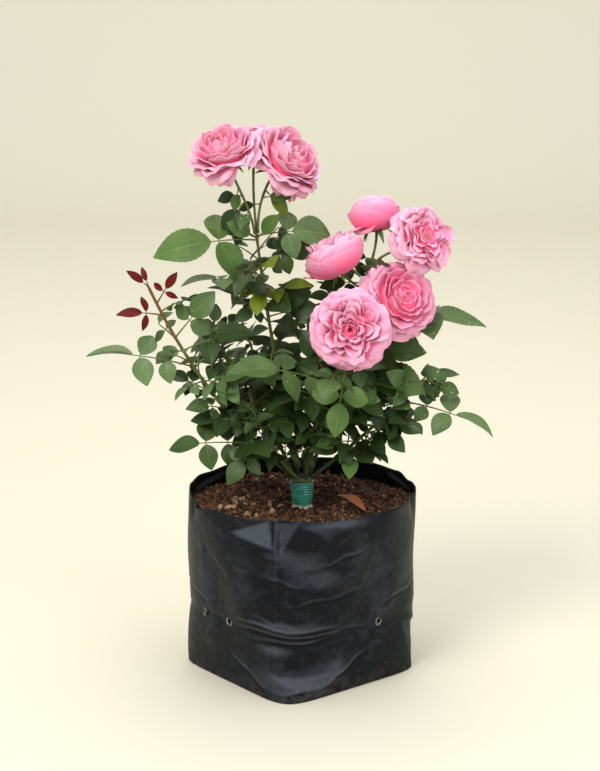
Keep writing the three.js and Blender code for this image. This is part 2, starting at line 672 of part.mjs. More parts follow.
// Twigs first, then placed leaves, then the filling ones, each only where there is room for it.
function growLeaf({ name, number, parts }, row, index) {
  const draw = dice(5000 + number * 200 + index);
  const leaf = leafPlan(row.root, row.azimuth, row.rise, row.length, row.leaflets, row.up, draw);
  const stalk = leafSolid(leaf, []);
  if (!isFree(name, stalk)) return;
  const kept = leaf.plan.filter((leaflet) => {
    const made = leafletSolid(leaflet);
    const tip = leaflet.root.clone().addScaledVector(leaflet.dir, leaflet.length);
    if ((row.filling && !insideCrown(tip)) || !isFree(name, made)) return false;
    put(name, made);
    return true;
  });
  if (!kept.length) return;
  put(name, stalk, true);
  parts.push(leafSolid(leaf, kept));
}

for (const { name, twigs, parts } of masses) {
  for (const twig of twigs) {
    const made = limb(twig, 0, 1, TWIG, TWIG * 0.75, 3, 3);
    if (isFree(name, made)) parts.push(put(name, made, true));
  }
}
for (const filling of [false, true]) {
  for (const mass of masses) {
    mass.rows.forEach((row, index) => {
      if (row.filling === filling) growLeaf(mass, row, index);
    });
  }
}
for (const { name, parts } of masses) {
  addNode(name + "_foliage", joined(parts), COLOURS.leaf, 0.6);
}

export default plant;
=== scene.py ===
"""A patio rose in a black film grow bag: film, soil, canes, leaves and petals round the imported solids.

Lengths are metres, except in the tables of the plant's growth, which are millimetres and degrees.
"""
import math
from collections import namedtuple

import bmesh
import bpy
import numpy as np
from bpy.props import FloatProperty, FloatVectorProperty, IntProperty, PointerProperty
from bpy.types import Operator, Panel, PropertyGroup
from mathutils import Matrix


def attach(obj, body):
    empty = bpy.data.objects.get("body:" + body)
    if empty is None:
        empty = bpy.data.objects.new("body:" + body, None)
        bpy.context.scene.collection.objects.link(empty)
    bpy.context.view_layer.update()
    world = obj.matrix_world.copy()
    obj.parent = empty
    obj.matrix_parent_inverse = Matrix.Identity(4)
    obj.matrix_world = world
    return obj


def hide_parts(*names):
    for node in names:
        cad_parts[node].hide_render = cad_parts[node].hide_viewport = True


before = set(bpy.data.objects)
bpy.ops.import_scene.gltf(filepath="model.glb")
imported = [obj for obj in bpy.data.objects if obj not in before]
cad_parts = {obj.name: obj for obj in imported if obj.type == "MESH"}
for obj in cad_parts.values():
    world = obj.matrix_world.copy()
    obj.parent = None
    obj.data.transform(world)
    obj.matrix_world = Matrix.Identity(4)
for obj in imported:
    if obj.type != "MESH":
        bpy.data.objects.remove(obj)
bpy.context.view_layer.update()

bl_info = {
    "name": "Potted patio rose",
    "version": (1, 0, 0),
    "blender": (4, 5, 0),
    "location": "3D View > Sidebar > Rose",
    "description": "Builds a flowering patio rose in a film grow bag, piece by piece",
    "category": "Add Mesh",
}

MM = 0.001

# Growth of the plant
# Each shoot stands on the stock's head at the angle "ring", or is the "spring" of a shoot at a share of
# it, and bends by one control point to its tip. Up to the share "bare" it is a cane, and "blush" is how
# red its tip is. A leaf is its share along the shoot, azimuth, rise, length, leaflets, the lean of its
# blade to the front and its tone. Further numbers tilt its end leaflet about its midrib, spread its pairs
# from the stalk, and size them. "fill" is a spiral of leaves: number, first share, first and last length.
# "twigs" is number and length.
SHOOTS = {
    "left_arch": dict(
        ring=205, bend=(-97, -14, 278), tip=(-149, -40, 403), bare=0.47, fill=(2, 0.52, 60, 50),
        twigs=(0, 0), blush=0.9, leaves=[
            (0.64, -176, 8, 107, 5, 48, "pale", 42, 110, 0.8), (0.78, -5, 50, 61, 3, 70, "mid"),
            (0.57, -146, -22, 37, 3, 10, "pale"), (0.88, -160, 7, 47, 3, 60, "red"),
            (0.93, 6, 57, 37, 3, 60, "red"), (1, -153, 39, 29, 1, 60, "red"),
            (1, 139, 64, 21, 1, 60, "red"), (0.5, -48, 31, 78, 5, 50, "pale"),
            (0.57, -50, -1, 55, 3, 45, "pale"),
        ]),
    "inner_left": dict(
        ring=160, bend=(-34, 6, 262), tip=(-97, 15, 352), bare=0.16, fill=(6, 0.18, 65, 45),
        twigs=(1, 45), blush=0.3, leaves=[
            (1, -160, 47, 30, 3, 60, "bronze"), (0.93, 69, 79, 35, 3, 50, "pale"),
            (0.77, -163, 16, 40, 3, 45, "mid"), (0.85, 153, -20, 28, 3, 30, "dark"),
            (0.65, -47, 43, 55, 5, 50, "mid"),
        ]),
    "tall": dict(
        ring=115, bend=(-34, 4, 349), tip=(-45, 0, 450), bare=0.52, fill=(3, 0.56, 75, 60),
        twigs=(0, 0), blush=0.3, leaves=[
            (0.96, -166, -6, 105, 3, 46, "bright", 14, 106), (0.97, 147, 10, 41, 3, 60, "dark"),
            (0.98, 12, 0, 76, 3, 50, "pale"), (0.965, -29, 46, 36, 1, 60, "bright"),
            (0.97, -153, 29, 37, 1, 60, "bright"), (0.73, -164, 7, 86, 5, 2, "pale"),
            (0.82, -79, 15, 66, 3, 42, "fresh"), (0.86, 21, 9, 58, 3, 60, "mid"),
            (0.7, -31, 19, 56, 3, 20, "fresh"), (0.77, -97, -30, 50, 3, 60, "fresh"),
            (0.61, -20, 14, 55, 3, 60, "dark"), (0.66, -141, -14, 41, 3, 60, "dark"),
            (0.79, -151, 14, 38, 3, 50, "pale"),
        ]),
    "back": dict(
        ring=70, bend=(8, 38, 270), tip=(6, 84, 352), bare=0.16, fill=(7, 0.2, 75, 60),
        twigs=(1, 45), blush=0.4, leaves=[]),
    "right_upper": dict(
        ring=25, bend=(40, 10, 300), tip=(68, 2, 415), bare=0.16, fill=(7, 0.18, 75, 50),
        twigs=(1, 45), blush=0.4, leaves=[
            (0.72, 2, 1, 133, 5, 0, "mid", 4), (0.92, -164, 2, 48, 3, 40, "dark"),
            (0.94, -138, 46, 28, 1, 50, "dark"), (0.8, 172, -2, 37, 5, 60, "dark"),
        ]),
    "right_low": dict(
        ring=340, bend=(60, -6, 240), tip=(120, -10, 302), bare=0.2, fill=(4, 0.24, 60, 50),
        twigs=(1, 40), blush=0.3, leaves=[
            (0.82, -10, -17, 99, 5, 42, "pale", -40, 112, 0.8), (1, -16, -16, 39, 3, 60, "mid"),
            (0.93, 14, 18, 50, 3, 30, "mid"), (0.88, -112, 32, 67, 5, 60, "mid"),
            (0.67, -41, -8, 50, 3, 60, "shade"), (0.62, -47, -31, 44, 3, 65, "shade"),
            (0.51, -80, -34, 39, 3, 60, "shade"), (0.4, -96, -29, 49, 3, 60, "bright"),
            (0.98, -64, 31, 42, 3, 60, "pale"),
        ]),
    "front": dict(
        ring=295, bend=(14, -30, 290), tip=(43, -62, 338), bare=0.12, fill=(5, 0.15, 60, 50),
        twigs=(1, 40), blush=0.4, leaves=[
            (0.7, -157, 14, 108, 5, 34, "mid", 6, 112, 0.78),
            (1, -108, -62, 80, "late", 80, "bright", 0, 88),
            (0.71, 160, 61, 61, 3, 60, "dark"), (0.35, -120, -12, 39, 5, 60, "dark"),
        ]),
    "low_left": dict(
        ring=250, bend=(-34, -18, 228), tip=(-52, -48, 300), bare=0.14, fill=(4, 0.18, 55, 45),
        twigs=(0, 0), blush=0.4, leaves=[
            (0.5, -173, 1, 103, 7, 52, "shade", 10, 96), (0.6, -140, -38, 64, 5, 60, "shade", 0, 82, 0.85),
            (0.77, 155, -8, 50, 3, 50, "dark"), (0.89, -108, 5, 40, 5, 60, "dark"),
        ]),
    "back_left": dict(
        spring=("inner_left", 0.24), bend=(-36, 50, 275), tip=(-62, 76, 345), bare=0,
        fill=(5, 0.15, 75, 55), twigs=(1, 40), blush=0.4, leaves=[]),
    "back_right": dict(
        spring=("right_upper", 0.24), bend=(48, 46, 270), tip=(82, 66, 335), bare=0,
        fill=(5, 0.15, 75, 55), twigs=(1, 40), blush=0.4, leaves=[]),
}

# Blossoms: shoot, share where the stalk leaves it, middle, azimuth and rise that it faces, radius, the
# solid's form, the turn of the stalk's foot round the shoot, and how its petals lie.
Blossom = namedtuple("Blossom", "shoot where middle azimuth rise radius form turn lie")
BLOSSOMS = {
    "top_left": Blossom("tall", 1, (-76.5, -14, 532.5), -122, 60, 32, "open", 20, "saucer"),
    "top_right": Blossom("tall", 1, (-13, 8, 521), -30, 43, 36, "open", -45, "saucer"),
    "top_back": Blossom("tall", 1, (-47, 58, 529), 85, 52, 26, "open", 0, "saucer"),
    "bud": Blossom("right_upper", 1, (71, 16, 466), 121, 73, 25, "cup", 0, "globe"),
    "right": Blossom("right_upper", 1, (120, -12, 446), -52, 27, 34, "open", 0, "loose"),
    "cup": Blossom("right_upper", 0.88, (31, -20, 430), 165, 60, 29, "cup", 0, "cup"),
    "middle": Blossom("right_upper", 0.74, (97, -30, 390), -59, 27, 38, "open", 0, "layered"),
    "front": Blossom("front", 1, (46, -82, 370), -90, 14, 40, "open", 0, "quartered"),
}
# Where the calyx lies behind the middle of a blossom of each form, in its radii.
CALYX_HEIGHT = {"open": -0.52, "cup": -0.66}

# Leaf forms by the number of leaflets: pairs as place and length, and where the last leaflet starts.
# "late" is a leaf of three at the end of a long stalk.
LEAF_FORMS = {
    1: ((), 0.22),
    3: (((0.38, 0.40),), 0.43),
    5: (((0.27, 0.27), (0.51, 0.37)), 0.55),
    7: (((0.22, 0.20), (0.43, 0.22), (0.64, 0.28)), 0.68),
    "late": (((0.50, 0.38),), 0.56),
}
# The shade and sunlit tones are darker and lighter copies of the grown green: painted shade and painted
# sunlight. The pale tone is a bloom's blue-green, lightened by a painted sheen.
TONES = ("dark", "shade", "mid", "pale", "bright", "fresh", "bronze", "red")
# Leaves of these tones are narrower than the others.
SLENDER = {"red": 0.6, "bronze": 0.75, "fresh": 0.95}

# Rings of petals from the outermost to the heart, in radii of the blossom: number of petals, reach and
# height of their tips, reach and height of their belly, half width, cup in radians, roll of the rim
# outwards, and paleness.
PETAL_RINGS = {
    "quartered": [
        (8, 1.04, -0.26, 0.68, 0.00, 0.50, 0.30, 0.22, 0.66),
        (8, 1.03, -0.10, 0.66, 0.06, 0.48, 0.35, 0.18, 0.64),
        (9, 0.98, 0.02, 0.64, 0.12, 0.44, 0.40, 0.18, 0.62),
        (9, 0.90, 0.10, 0.60, 0.16, 0.40, 0.45, 0.18, 0.56),
        (5, 0.80, 0.17, 0.58, 0.16, 0.36, 0.60, 0.20, 0.52),
        (5, 0.20, 0.28, 0.22, 0.16, 0.17, 0.90, 0.08, 0.50),
        (4, 0.11, 0.26, 0.15, 0.15, 0.12, 0.95, 0.06, 0.40),
    ],
    "loose": [
        (6, 1.12, -0.30, 0.64, 0.00, 0.52, 0.30, 0.28, 0.72),
        (7, 1.08, -0.12, 0.64, 0.06, 0.46, 0.40, 0.22, 0.70),
        (7, 0.98, 0.04, 0.60, 0.10, 0.42, 0.50, 0.18, 0.66),
        (5, 0.84, 0.16, 0.56, 0.14, 0.38, 0.60, 0.14, 0.62),
        (4, 0.20, 0.22, 0.20, 0.08, 0.14, 0.95, 0.04, 0.50),
    ],
    "layered": [
        (7, 1.10, -0.42, 0.68, -0.12, 0.54, 0.35, 0.22, 0.70),
        (8, 1.10, -0.26, 0.68, -0.06, 0.52, 0.38, 0.18, 0.68),
        (8, 1.06, -0.10, 0.68, 0.00, 0.50, 0.42, 0.14, 0.66),
        (8, 1.00, 0.06, 0.66, 0.04, 0.48, 0.46, 0.10, 0.64),
        (7, 0.90, 0.20, 0.66, 0.08, 0.46, 0.55, 0.06, 0.60),
        (6, 0.74, 0.30, 0.64, 0.12, 0.42, 0.70, 0.04, 0.52),
        (5, 0.54, 0.37, 0.58, 0.16, 0.36, 0.80, 0.08, 0.56),
        (5, 0.38, 0.39, 0.42, 0.20, 0.30, 0.85, 0.10, 0.60),
        (4, 0.22, 0.38, 0.26, 0.22, 0.22, 0.90, 0.08, 0.66),
        (3, 0.08, 0.35, 0.13, 0.20, 0.13, 1.00, 0.04, 0.62),
    ],
    "saucer": [
        (5, 1.14, -0.36, 0.72, -0.10, 0.60, 0.25, 0.20, 0.86),
        (6, 1.14, -0.02, 0.78, -0.12, 0.58, 0.35, 0.12, 0.84),
        (6, 1.05, 0.14, 0.76, -0.04, 0.56, 0.45, 0.10, 0.80),
        (6, 0.86, 0.34, 0.82, 0.00, 0.52, 0.60, 0.10, 0.80),
        (6, 0.66, 0.44, 0.78, 0.04, 0.46, 0.75, 0.08, 0.82),
        (5, 0.46, 0.50, 0.62, 0.12, 0.40, 0.90, 0.06, 0.82),
        (5, 0.26, 0.54, 0.44, 0.18, 0.30, 1.10, 0.04, 0.78),
        (3, 0.08, 0.52, 0.24, 0.22, 0.20, 1.20, 0.02, 0.72),
    ],
    "cup": [
        (5, 0.66, 0.66, 0.72, 0.00, 0.44, 0.75, 0.10, 0.80),
        (5, 0.46, 0.66, 0.56, 0.04, 0.38, 0.90, 0.10, 0.78),
        (4, 0.24, 0.60, 0.34, 0.10, 0.26, 1.10, 0.06, 0.70),
    ],
    "globe": [],
}
# Nests of folded petals inside a quartered heart: nests, petals in each, outer and inner reach, height.
PETAL_NESTS = {
    "quartered": (5, 4, 0.78, 0.28, 0.22), "loose": (5, 4, 0.90, 0.30, 0.20),
}
# How far the petals of a blossom stray from their order, how far their tips are rounded off, and the
# packed heart that closes the gaps between them: its radius, and the height of its top.
Lie = namedtuple("Lie", "stray rounded heart_radius heart_top")
LIES = {
    "quartered": Lie(0.6, 0.34, 0.62, 0.13), "loose": Lie(0.55, 0.34, 0.68, 0.13),
    "layered": Lie(0.5, 0.32, 0.60, 0.24), "saucer": Lie(0.7, 0.36, 0.64, 0.32),
    "cup": Lie(0.6, 0.36, 0.62, 0.30), "globe": Lie(0.3, 0.4, 0.70, 0.50),
}
# Outer petals that lie on a bud's or cup's round shell: number, size, how far up they reach as a share of
# half a turn from the foot, half the angle they cover in radians, height against size, and paleness.
SHELLS = {
    "globe": [
        (2, 1.00, 0.58, 1.40, 0.78, 0.45), (2, 0.98, 0.70, 1.30, 0.80, 0.55),
        (3, 0.93, 0.82, 1.15, 0.82, 0.72), (3, 0.86, 0.91, 1.05, 0.84, 0.82),
        (3, 0.78, 0.96, 1.00, 0.86, 0.85),
    ],
    "cup": [
        (3, 1.06, 0.54, 1.20, 0.68, 0.48), (3, 1.03, 0.62, 1.15, 0.72, 0.58),
        (4, 0.98, 0.68, 1.00, 0.76, 0.66), (4, 0.91, 0.73, 0.90, 0.80, 0.74),
        (5, 0.82, 0.78, 0.80, 0.86, 0.80),
    ],
}
# The stigmas in the eye of an open blossom: radius and top, and their colour.
EYES = {"quartered": (0.055, 0.20, (0.22, 0.012, 0.012)), "loose": (0.09, 0.20, (0.50, 0.27, 0.14))}
# Outer petals that hang away from a blossom: turn about its axis, rise from its face, length in radii.
HANGING = {
    "top_left": [(215, -52, 1.2), (195, -34, 1.2), (285, -44, 1.15)],
    "top_right": [(285, -44, 1.25), (250, -50, 1.15), (225, -30, 1.1)],
    "bud": [(350, -30, 1.5), (22, -44, 1.2)], "cup": [(268, -6, 1.3)], "middle": [(280, -30, 1.2)],
}

# Finer side leaves that carry the shoots on, given as in SHOOTS.
SIDE_LEAVES = {
    "right_upper": [
        (0.50, -32, -2, 96, 3, 48, "bright"), (0.56, -22, 12, 88, 5, 40, "mid"),
        (0.44, -50, -12, 70, 5, 50, "mid"), (0.62, -48, -6, 66, 3, 40, "dark"),
    ],
    "right_low": [
        (0.72, -70, 20, 52, 3, 40, "mid"), (0.58, -30, 30, 50, 3, 40, "dark"),
        (0.5, -64, -12, 46, 3, 55, "dark"),
    ],
    "tall": [
        (0.74, -100, 4, 44, 1, 60, "dark"), (0.68, -60, 0, 48, 1, 55, "dark"),
        (0.66, -20, 20, 50, 1, 50, "dark"),
    ],
    "left_arch": [(0.36, -30, 30, 60, 5, 40, "mid"), (0.42, -150, 10, 44, 3, 40, "mid")],
    "low_left": [(0.4, -130, 10, 56, 3, 50, "dark"), (0.66, -60, 24, 52, 3, 50, "dark")],
    "front": [
        (0.5, -60, 0, 60, 3, 55, "dark"), (0.45, -150, 14, 62, 3, 50, "dark"),
        (0.58, -30, 6, 62, 3, 50, "mid"),
    ],
}
# Small leaves on the blossoms' stalks: share of the stalk, then as for the leaves of a shoot.
BRACTS = {
    "top_left": [
        (0.42, -160, -52, 38, 1, 65, "dark"), (0.3, -110, -30, 26, 1, 60, "mid"),
        (0.5, 175, -10, 26, 1, 50, "dark"), (0.62, -120, -70, 24, 1, 70, "bright"),
    ],
    "top_right": [
        (0.62, -12, -46, 34, 1, 70, "fresh"), (0.5, -20, 6, 32, 1, 55, "bright"),
        (0.42, 170, -16, 24, 1, 60, "dark"),
    ],
    "cup": [(0.55, -30, -30, 32, 1, 60, "dark")],
    "bud": [(0.2, 170, 10, 22, 1, 50, "dark")],
}

# Where canes stand: top of the stock, distance from its axis, and the gap under them.
STOCK_TOP = 199.3
CANE_RING = 8.2
GAP = 0.3
# Radii of a cane at its foot and tip, of a branch, of twigs from foot to tip, and of a blossom's stalk.
CANE_FOOT = 2.9
CANE_TIP = 2.0
BRANCH = 1.6
TWIG = (1.4, 0.9)
BLOSSOM_STALK = 1.2
# How far the stalks of a fork stand from its middle, a leaf stalk's arch as a share of its length, the
# usual angle of a pair of leaflets, and the angle from one filling leaf to the next.
FORK_OFFSET = 2.15
LEAF_ARCH = 0.09
PAIR_SPREAD = 82
SPIRAL = 137.5
# The egg-shaped crown that filling leaves stay in, and the height that they stay above.
CROWN_MIDDLE = np.array([0, 0, 318])
CROWN_REACH = np.array([150, 140, 140])
CROWN_FOOT = 190
UP = np.array([0.0, 0.0, 1.0])

# Draws of each kind: their first seed, and the step from one shoot or blossom to the next.
SEEDS = {
    "filling": (0, 100), "twigs": (50, 100), "inner": (9000, 100), "tones": (7000, 1),
    "leaves": (5000, 200), "blades": (12000, 300), "prickles": (300, 1), "petals": (400, 1),
    "calyces": (600, 1), "sheets": (800, 1),
}
# Stalks of blossoms are numbered from here on, after the canes.
FIRST_STALK = 20


def colour(name, description, default):
    """A colour that the user may change, linear red, green and blue."""
    return FloatVectorProperty(
        name=name, description=description, default=default, size=3, subtype="COLOR", min=0, max=1)


def length(name, description, default):
    """A length that the user may change, in metres."""
    return FloatProperty(name=name, description=description, default=default, unit="LENGTH", min=0)


def share(name, description, default):
    """A share between nothing and all."""
    return FloatProperty(
        name=name, description=description, default=default, subtype="FACTOR", min=0, max=1)


class RoseBagSettings(PropertyGroup):
    """Sizes and colours of the film bag."""
    height: length("Height", "Height of the filled bag's rim", 0.1875)
    radius: length("Rim radius", "Radius of the round rim", 0.115)
    corner: length("Corner radius", "From the middle to a corner of the folded bottom", 0.1155)
    square: FloatProperty(
        name="Squareness", description="Squareness of the bottom, 2 being round", default=7)
    shift: length("Shift", "How far the bottom lies to the left of the rim", 0.0025)
    turn: FloatProperty(
        name="Turn", description="From the right to the middle of one side of the bottom",
        default=math.radians(39), subtype="ANGLE")
    film: length("Film", "Thickness of the film as it shows at the rim", 0.0009)
    crease_height: length("Crease height", "Height of the folds that run round the bag", 0.066)
    hole_radius: length("Hole radius", "Radius of a drain hole", 0.0026)
    hole_height: length("Hole height", "Height of the drain holes", 0.068)
    # Painted highlight: the film's colour where its painted gleam is strongest.
    painted_gleam_colour: colour("Gleam", "Film where it catches the light", (0.060, 0.070, 0.090))
    film_colour: colour("Film", "Black film", (0.0028, 0.0044, 0.0072))
    dust_colour: colour("Dust", "Dust and dried splashes on the film", (0.20, 0.185, 0.16))
    mud_colour: colour("Mud", "Dried mud at the foot of the bag", (0.050, 0.042, 0.033))


class RoseSoilSettings(PropertyGroup):
    """Levels, crumbs and colours of the potting mix."""
    middle: length("Middle level", "Soil level at the stock", 0.167)
    edge: length("Edge level", "Soil level at the bag", 0.178)
    crumb: length("Crumb", "Radius of a crumb of coir", 0.0023)
    chip: length("Chip", "Radius of a bark chip", 0.0042)
    pebble: length("Pebble", "Radius of a pebble", 0.0044)
    soil_colour: colour("Soil", "Moist coir", (0.036, 0.014, 0.006))
    red_colour: colour("Red crumbs", "Red-brown bark", (0.128, 0.053, 0.023))
    tan_colour: colour("Tan crumbs", "Dry fibres", (0.33, 0.205, 0.115))
    pebble_colour: colour("Pebbles", "Small tan pebbles", (0.36, 0.235, 0.120))
    fallen_colour: colour("Fallen leaf", "Dry orange-brown leaf", (0.22, 0.066, 0.024))


class RoseStockSettings(PropertyGroup):
    """Sizes and colours of the stock and its grafting tape."""
    head: length("Head", "Radius of the swollen head", 0.0112)
    low: length("Low", "Radius under the foot of the tape", 0.0087)
    high: length("High", "Radius under the top of the tape", 0.0101)
    tape_low: length("Tape foot", "Height of the tape's lower edge", 0.172)
    tape_high: length("Tape top", "Height of the tape's upper edge", 0.1954)
    tape_pitch: length("Pitch", "Rise of the tape in one turn", 0.0032)
    bark_colour: colour("Bark", "Grey-green bark", (0.115, 0.105, 0.045))
    foot_colour: colour("Foot", "Pale dried sap at the foot", (0.42, 0.38, 0.27))
    tape_colour: colour("Tape", "Green tape", (0.014, 0.165, 0.105))


class RoseCaneSettings(PropertyGroup):
    """Relief and colours of canes, twigs and stalks."""
    slimness: share("Slimness", "Thickness of the canes against their solids", 0.70)
    prickle: length("Prickle", "Length of a prickle", 0.0042)
    prickle_step: length("Prickle step", "From one prickle to the next", 0.017)
    old_colour: colour("Old cane", "Dark green rind", (0.026, 0.044, 0.011))
    green_colour: colour("Green cane", "Green rind", (0.095, 0.125, 0.022))
    blush_colour: colour("Blush", "Red-brown young rind", (0.125, 0.048, 0.014))


class RoseLeafSettings(PropertyGroup):
    """Shape and colours of the leaves."""
    width: share("Width", "Width of a leaflet against its length", 0.66)
    extra: IntProperty(name="Inner leaves", description="More leaves inside the crown, a shoot", default=9)
    dark: colour("Dark", "Old leaves inside the crown", (0.021, 0.042, 0.008))
    # Painted shade: a darker copy of the grown green for leaves low in the crown.
    shade: colour("Shade", "Grown leaves low in the crown", (0.036, 0.067, 0.015))
    mid: colour("Mid", "Grown leaves", (0.058, 0.104, 0.027))
    # The bloom's blue-green, lightened as a painted sheen.
    pale: colour("Pale", "Leaves with a blue bloom", (0.092, 0.150, 0.050))
    # Painted sunlight: a lighter copy of the grown green.
    bright: colour("Bright", "Sunlit leaves", (0.066, 0.124, 0.024))
    fresh: colour("Fresh", "Young yellow-green leaves", (0.108, 0.140, 0.006))
    bronze: colour("Bronze", "Young brownish leaves", (0.120, 0.085, 0.040))
    red: colour("Red", "Youngest leaves", (0.088, 0.005, 0.003))
    under: colour("Underside", "Pale undersides", (0.095, 0.140, 0.058))
    drop: length("Drop", "Radius of a drop of dew", 0.0005)
    # Painted glint: the drops' pale colour stands in for the light they catch.
    dew: colour("Dew", "Light caught in a drop of dew", (0.42, 0.50, 0.44))


class RosePetalSettings(PropertyGroup):
    """Colours and thickness of the petals."""
    thickness: length("Thickness", "Thickness of a petal", 0.0004)
    # Deep is partly painted: its saturated pink stands in for the shade and the light between the petals in
    # the depths.
    deep: colour("Deep", "In the depth between the petals", (0.95, 0.125, 0.250))
    mid: colour("Mid", "Middle of a petal", (0.86, 0.180, 0.335))
    light: colour("Light", "Outer half of a petal", (0.745, 0.240, 0.390))
    # The pale rim is partly the petals' own colour and partly a painted highlight where the rims catch
    # light.
    rim: colour("Rim", "Rim of a petal", (0.72, 0.365, 0.48))
    under: colour("Underside", "Faded underside of the outer petals", (0.70, 0.270, 0.330))
    calyx: colour("Calyx", "Green of calyx and hip", (0.090, 0.150, 0.040))


class RoseStageSettings(PropertyGroup):
    """Floor, light and viewpoint."""
    floor_colour: colour("Floor", "Cream floor", (0.60, 0.573, 0.462))
    focal: FloatProperty(name="Focal length", description="In image heights", default=2200 / 771)
    tilt: FloatProperty(
        name="Tilt", description="How far the camera looks down", default=math.radians(14.2),
        subtype="ANGLE")


SETTINGS = {
    "rose_bag": RoseBagSettings,
    "rose_soil": RoseSoilSettings,
    "rose_stock": RoseStockSettings,
    "rose_cane": RoseCaneSettings,
    "rose_leaf": RoseLeafSettings,
    "rose_petal": RosePetalSettings,
    "rose_stage": RoseStageSettings,
}


class Dice:
    """Seeded draws between 0 and 1, the same draws as the solids were grown by."""

    def __init__(self, seed):
        self.state = ((seed + 1) * 2654435761) & 0xFFFFFFFF

    def __call__(self):
        self.state = (self.state * 1664525 + 1013904223) & 0xFFFFFFFF
        return self.state / 4294967296


def dice_for(kind, number, index=0):
    """The draws of one kind for a shoot or blossom by its number, or for one part of it."""
    first, step = SEEDS[kind]
    return Dice(first + number * step + index)


def unit(v):
    """v at length 1, along its last axis."""
    v = np.asarray(v, float)
    return v / np.maximum(np.linalg.norm(v, axis=-1, keepdims=True), 1e-12)


def heading(azimuth, rise):
    """A unit vector from an azimuth and a rise in degrees."""
    a, r = math.radians(azimuth), math.radians(rise)
    return np.array([math.cos(r) * math.cos(a), math.cos(r) * math.sin(a), math.sin(r)])


def squared(v, axis):
    """The part of v square to axis, as a unit vector."""
    return unit(v - axis * np.dot(v, axis))


def turned(v, axis, angle):
    """v turned about a unit axis by an angle in radians."""
    c, s = math.cos(angle), math.sin(angle)
    return v * c + np.cross(axis, v) * s + axis * np.dot(axis, v) * (1 - c)


def bezier(points, t):
    """Places on a Bezier curve of any order at the shares t."""
    t = np.asarray(t, float)
    order = len(points) - 1
    return sum(
        math.comb(order, i) * t[..., None] ** i * (1 - t[..., None]) ** (order - i) * np.asarray(p, float)
        for i, p in enumerate(points))


def at(points, t):
    """One place on a Bezier curve."""
    return bezier(points, np.array(t))


def along(points, t):
    """The direction of a Bezier curve at a share of it."""
    return unit(at(points, min(1, t + 1e-4)) - at(points, max(0, t - 1e-4)))


def steps_of(points):
    """The lengths of the steps from point to point."""
    return np.linalg.norm(np.diff(points, axis=0), axis=1)


def bell(x, width):
    """1 at 0, falling to nothing on both sides."""
    return np.exp(-(x / width) ** 2)


def ramp(value, low, high):
    """0 below low, 1 above high, smooth between."""
    x = np.clip((value - low) / (high - low), 0, 1)
    return x * x * (3 - 2 * x)


class Bundle:
    """Vertices and faces of many small shapes, gathered into one mesh."""

    def __init__(self):
        self.verts, self.faces, self.picks, self.maps, self.tones, self.count = [], [], [], [], [], 0

    def add(self, verts, faces, pick=0, flat_map=None, tone=0.0):
        """Adds vertices in metres with faces that count from 0, of one material or one each."""
        n = len(verts)
        self.verts.append(np.asarray(verts, float))
        self.faces += [tuple(i + self.count for i in f) for f in faces]
        self.picks.append(np.broadcast_to(np.asarray(pick), (len(faces),)))
        self.maps.append(np.zeros((n, 2)) if flat_map is None else flat_map)
        self.tones.append(np.broadcast_to(np.asarray(tone, float), (n,)))
        self.count += n

    def mesh(self, name, materials=(), crease=None):
        """The gathered mesh. Edges sharper than the crease stay sharp when it is shaded."""
        mesh = bpy.data.meshes.new(name)
        mesh.from_pydata(np.concatenate(self.verts).tolist(), [], self.faces)
        for material in materials:
            mesh.materials.append(material)
        mesh.polygons.foreach_set("material_index", np.concatenate(self.picks).astype(np.int32))
        mesh.polygons.foreach_set("use_smooth", np.full(len(mesh.polygons), True))
        corners = np.empty(len(mesh.loops), np.int32)
        mesh.loops.foreach_get("vertex_index", corners)
        layer = mesh.uv_layers.new(name="shape")
        layer.uv.foreach_set("vector", np.concatenate(self.maps)[corners].astype(np.float32).ravel())
        tone = mesh.attributes.new("tone", "FLOAT", "POINT")
        tone.data.foreach_set("value", np.concatenate(self.tones).astype(np.float32))
        mesh.validate()
        if crease is not None:
            mesh.set_sharp_from_angle(angle=math.radians(crease))
        return mesh

    def piece(self, name, materials, node_slot, replaced=(), crease=None):
        """The gathered mesh as a piece of the plant's body."""
        return settle(add_object(name, self.mesh(name, materials, crease)), replaced)


def add_object(name, data):
    """A new object in the scene."""
    new = bpy.data.objects.new(name, data)
    bpy.context.scene.collection.objects.link(new)
    return new


def evaluated_mesh(changed):
    """The mesh that an object's modifiers make."""
    graph = bpy.context.evaluated_depsgraph_get()
    return bpy.data.meshes.new_from_object(changed.evaluated_get(graph))


def settle(piece, replaced=()):
    """Hides the solids that a finished piece replaces, and lets it ride on the plant's body."""
    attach(piece, "root")
    if replaced:
        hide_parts(*replaced)
    return piece


def grid_faces(rows, columns, wrap=False):
    """Quads of a grid of vertices, row by row. A wrapped grid closes round its columns."""
    last = columns if wrap else columns - 1
    return [
        (r * columns + c, r * columns + (c + 1) % columns,
         (r + 1) * columns + (c + 1) % columns, (r + 1) * columns + c)
        for r in range(rows - 1) for c in range(last)]


def round_angles(count):
    """Angles evenly round a circle."""
    return np.arange(count) * 2 * math.pi / count


def rings(radius, angles, z, shift=0.0):
    """Places at radii and angles round the upright axis, at heights."""
    across = radius * np.cos(angles) + shift
    return np.stack(np.broadcast_arrays(across, radius * np.sin(angles), z), axis=-1)


def loft(name, grid, finish, node_slot, node, tone=0.0):
    """A grid of rings, closed round its axis, as the piece that stands for a solid."""
    bundle = Bundle()
    bundle.add(grid.reshape(-1, 3), grid_faces(len(grid), grid.shape[1], wrap=True), tone=tone)
    piece = bundle.piece(name, [finish], node_slot, [node])
    merge_close(piece.data)
    return piece


def merge_close(mesh):
    """Joins vertices that lie within a thousandth of a millimetre of each other."""
    work = bmesh.new()
    work.from_mesh(mesh)
    bmesh.ops.remove_doubles(work, verts=work.verts, dist=1e-6)
    work.to_mesh(mesh)
    work.free()


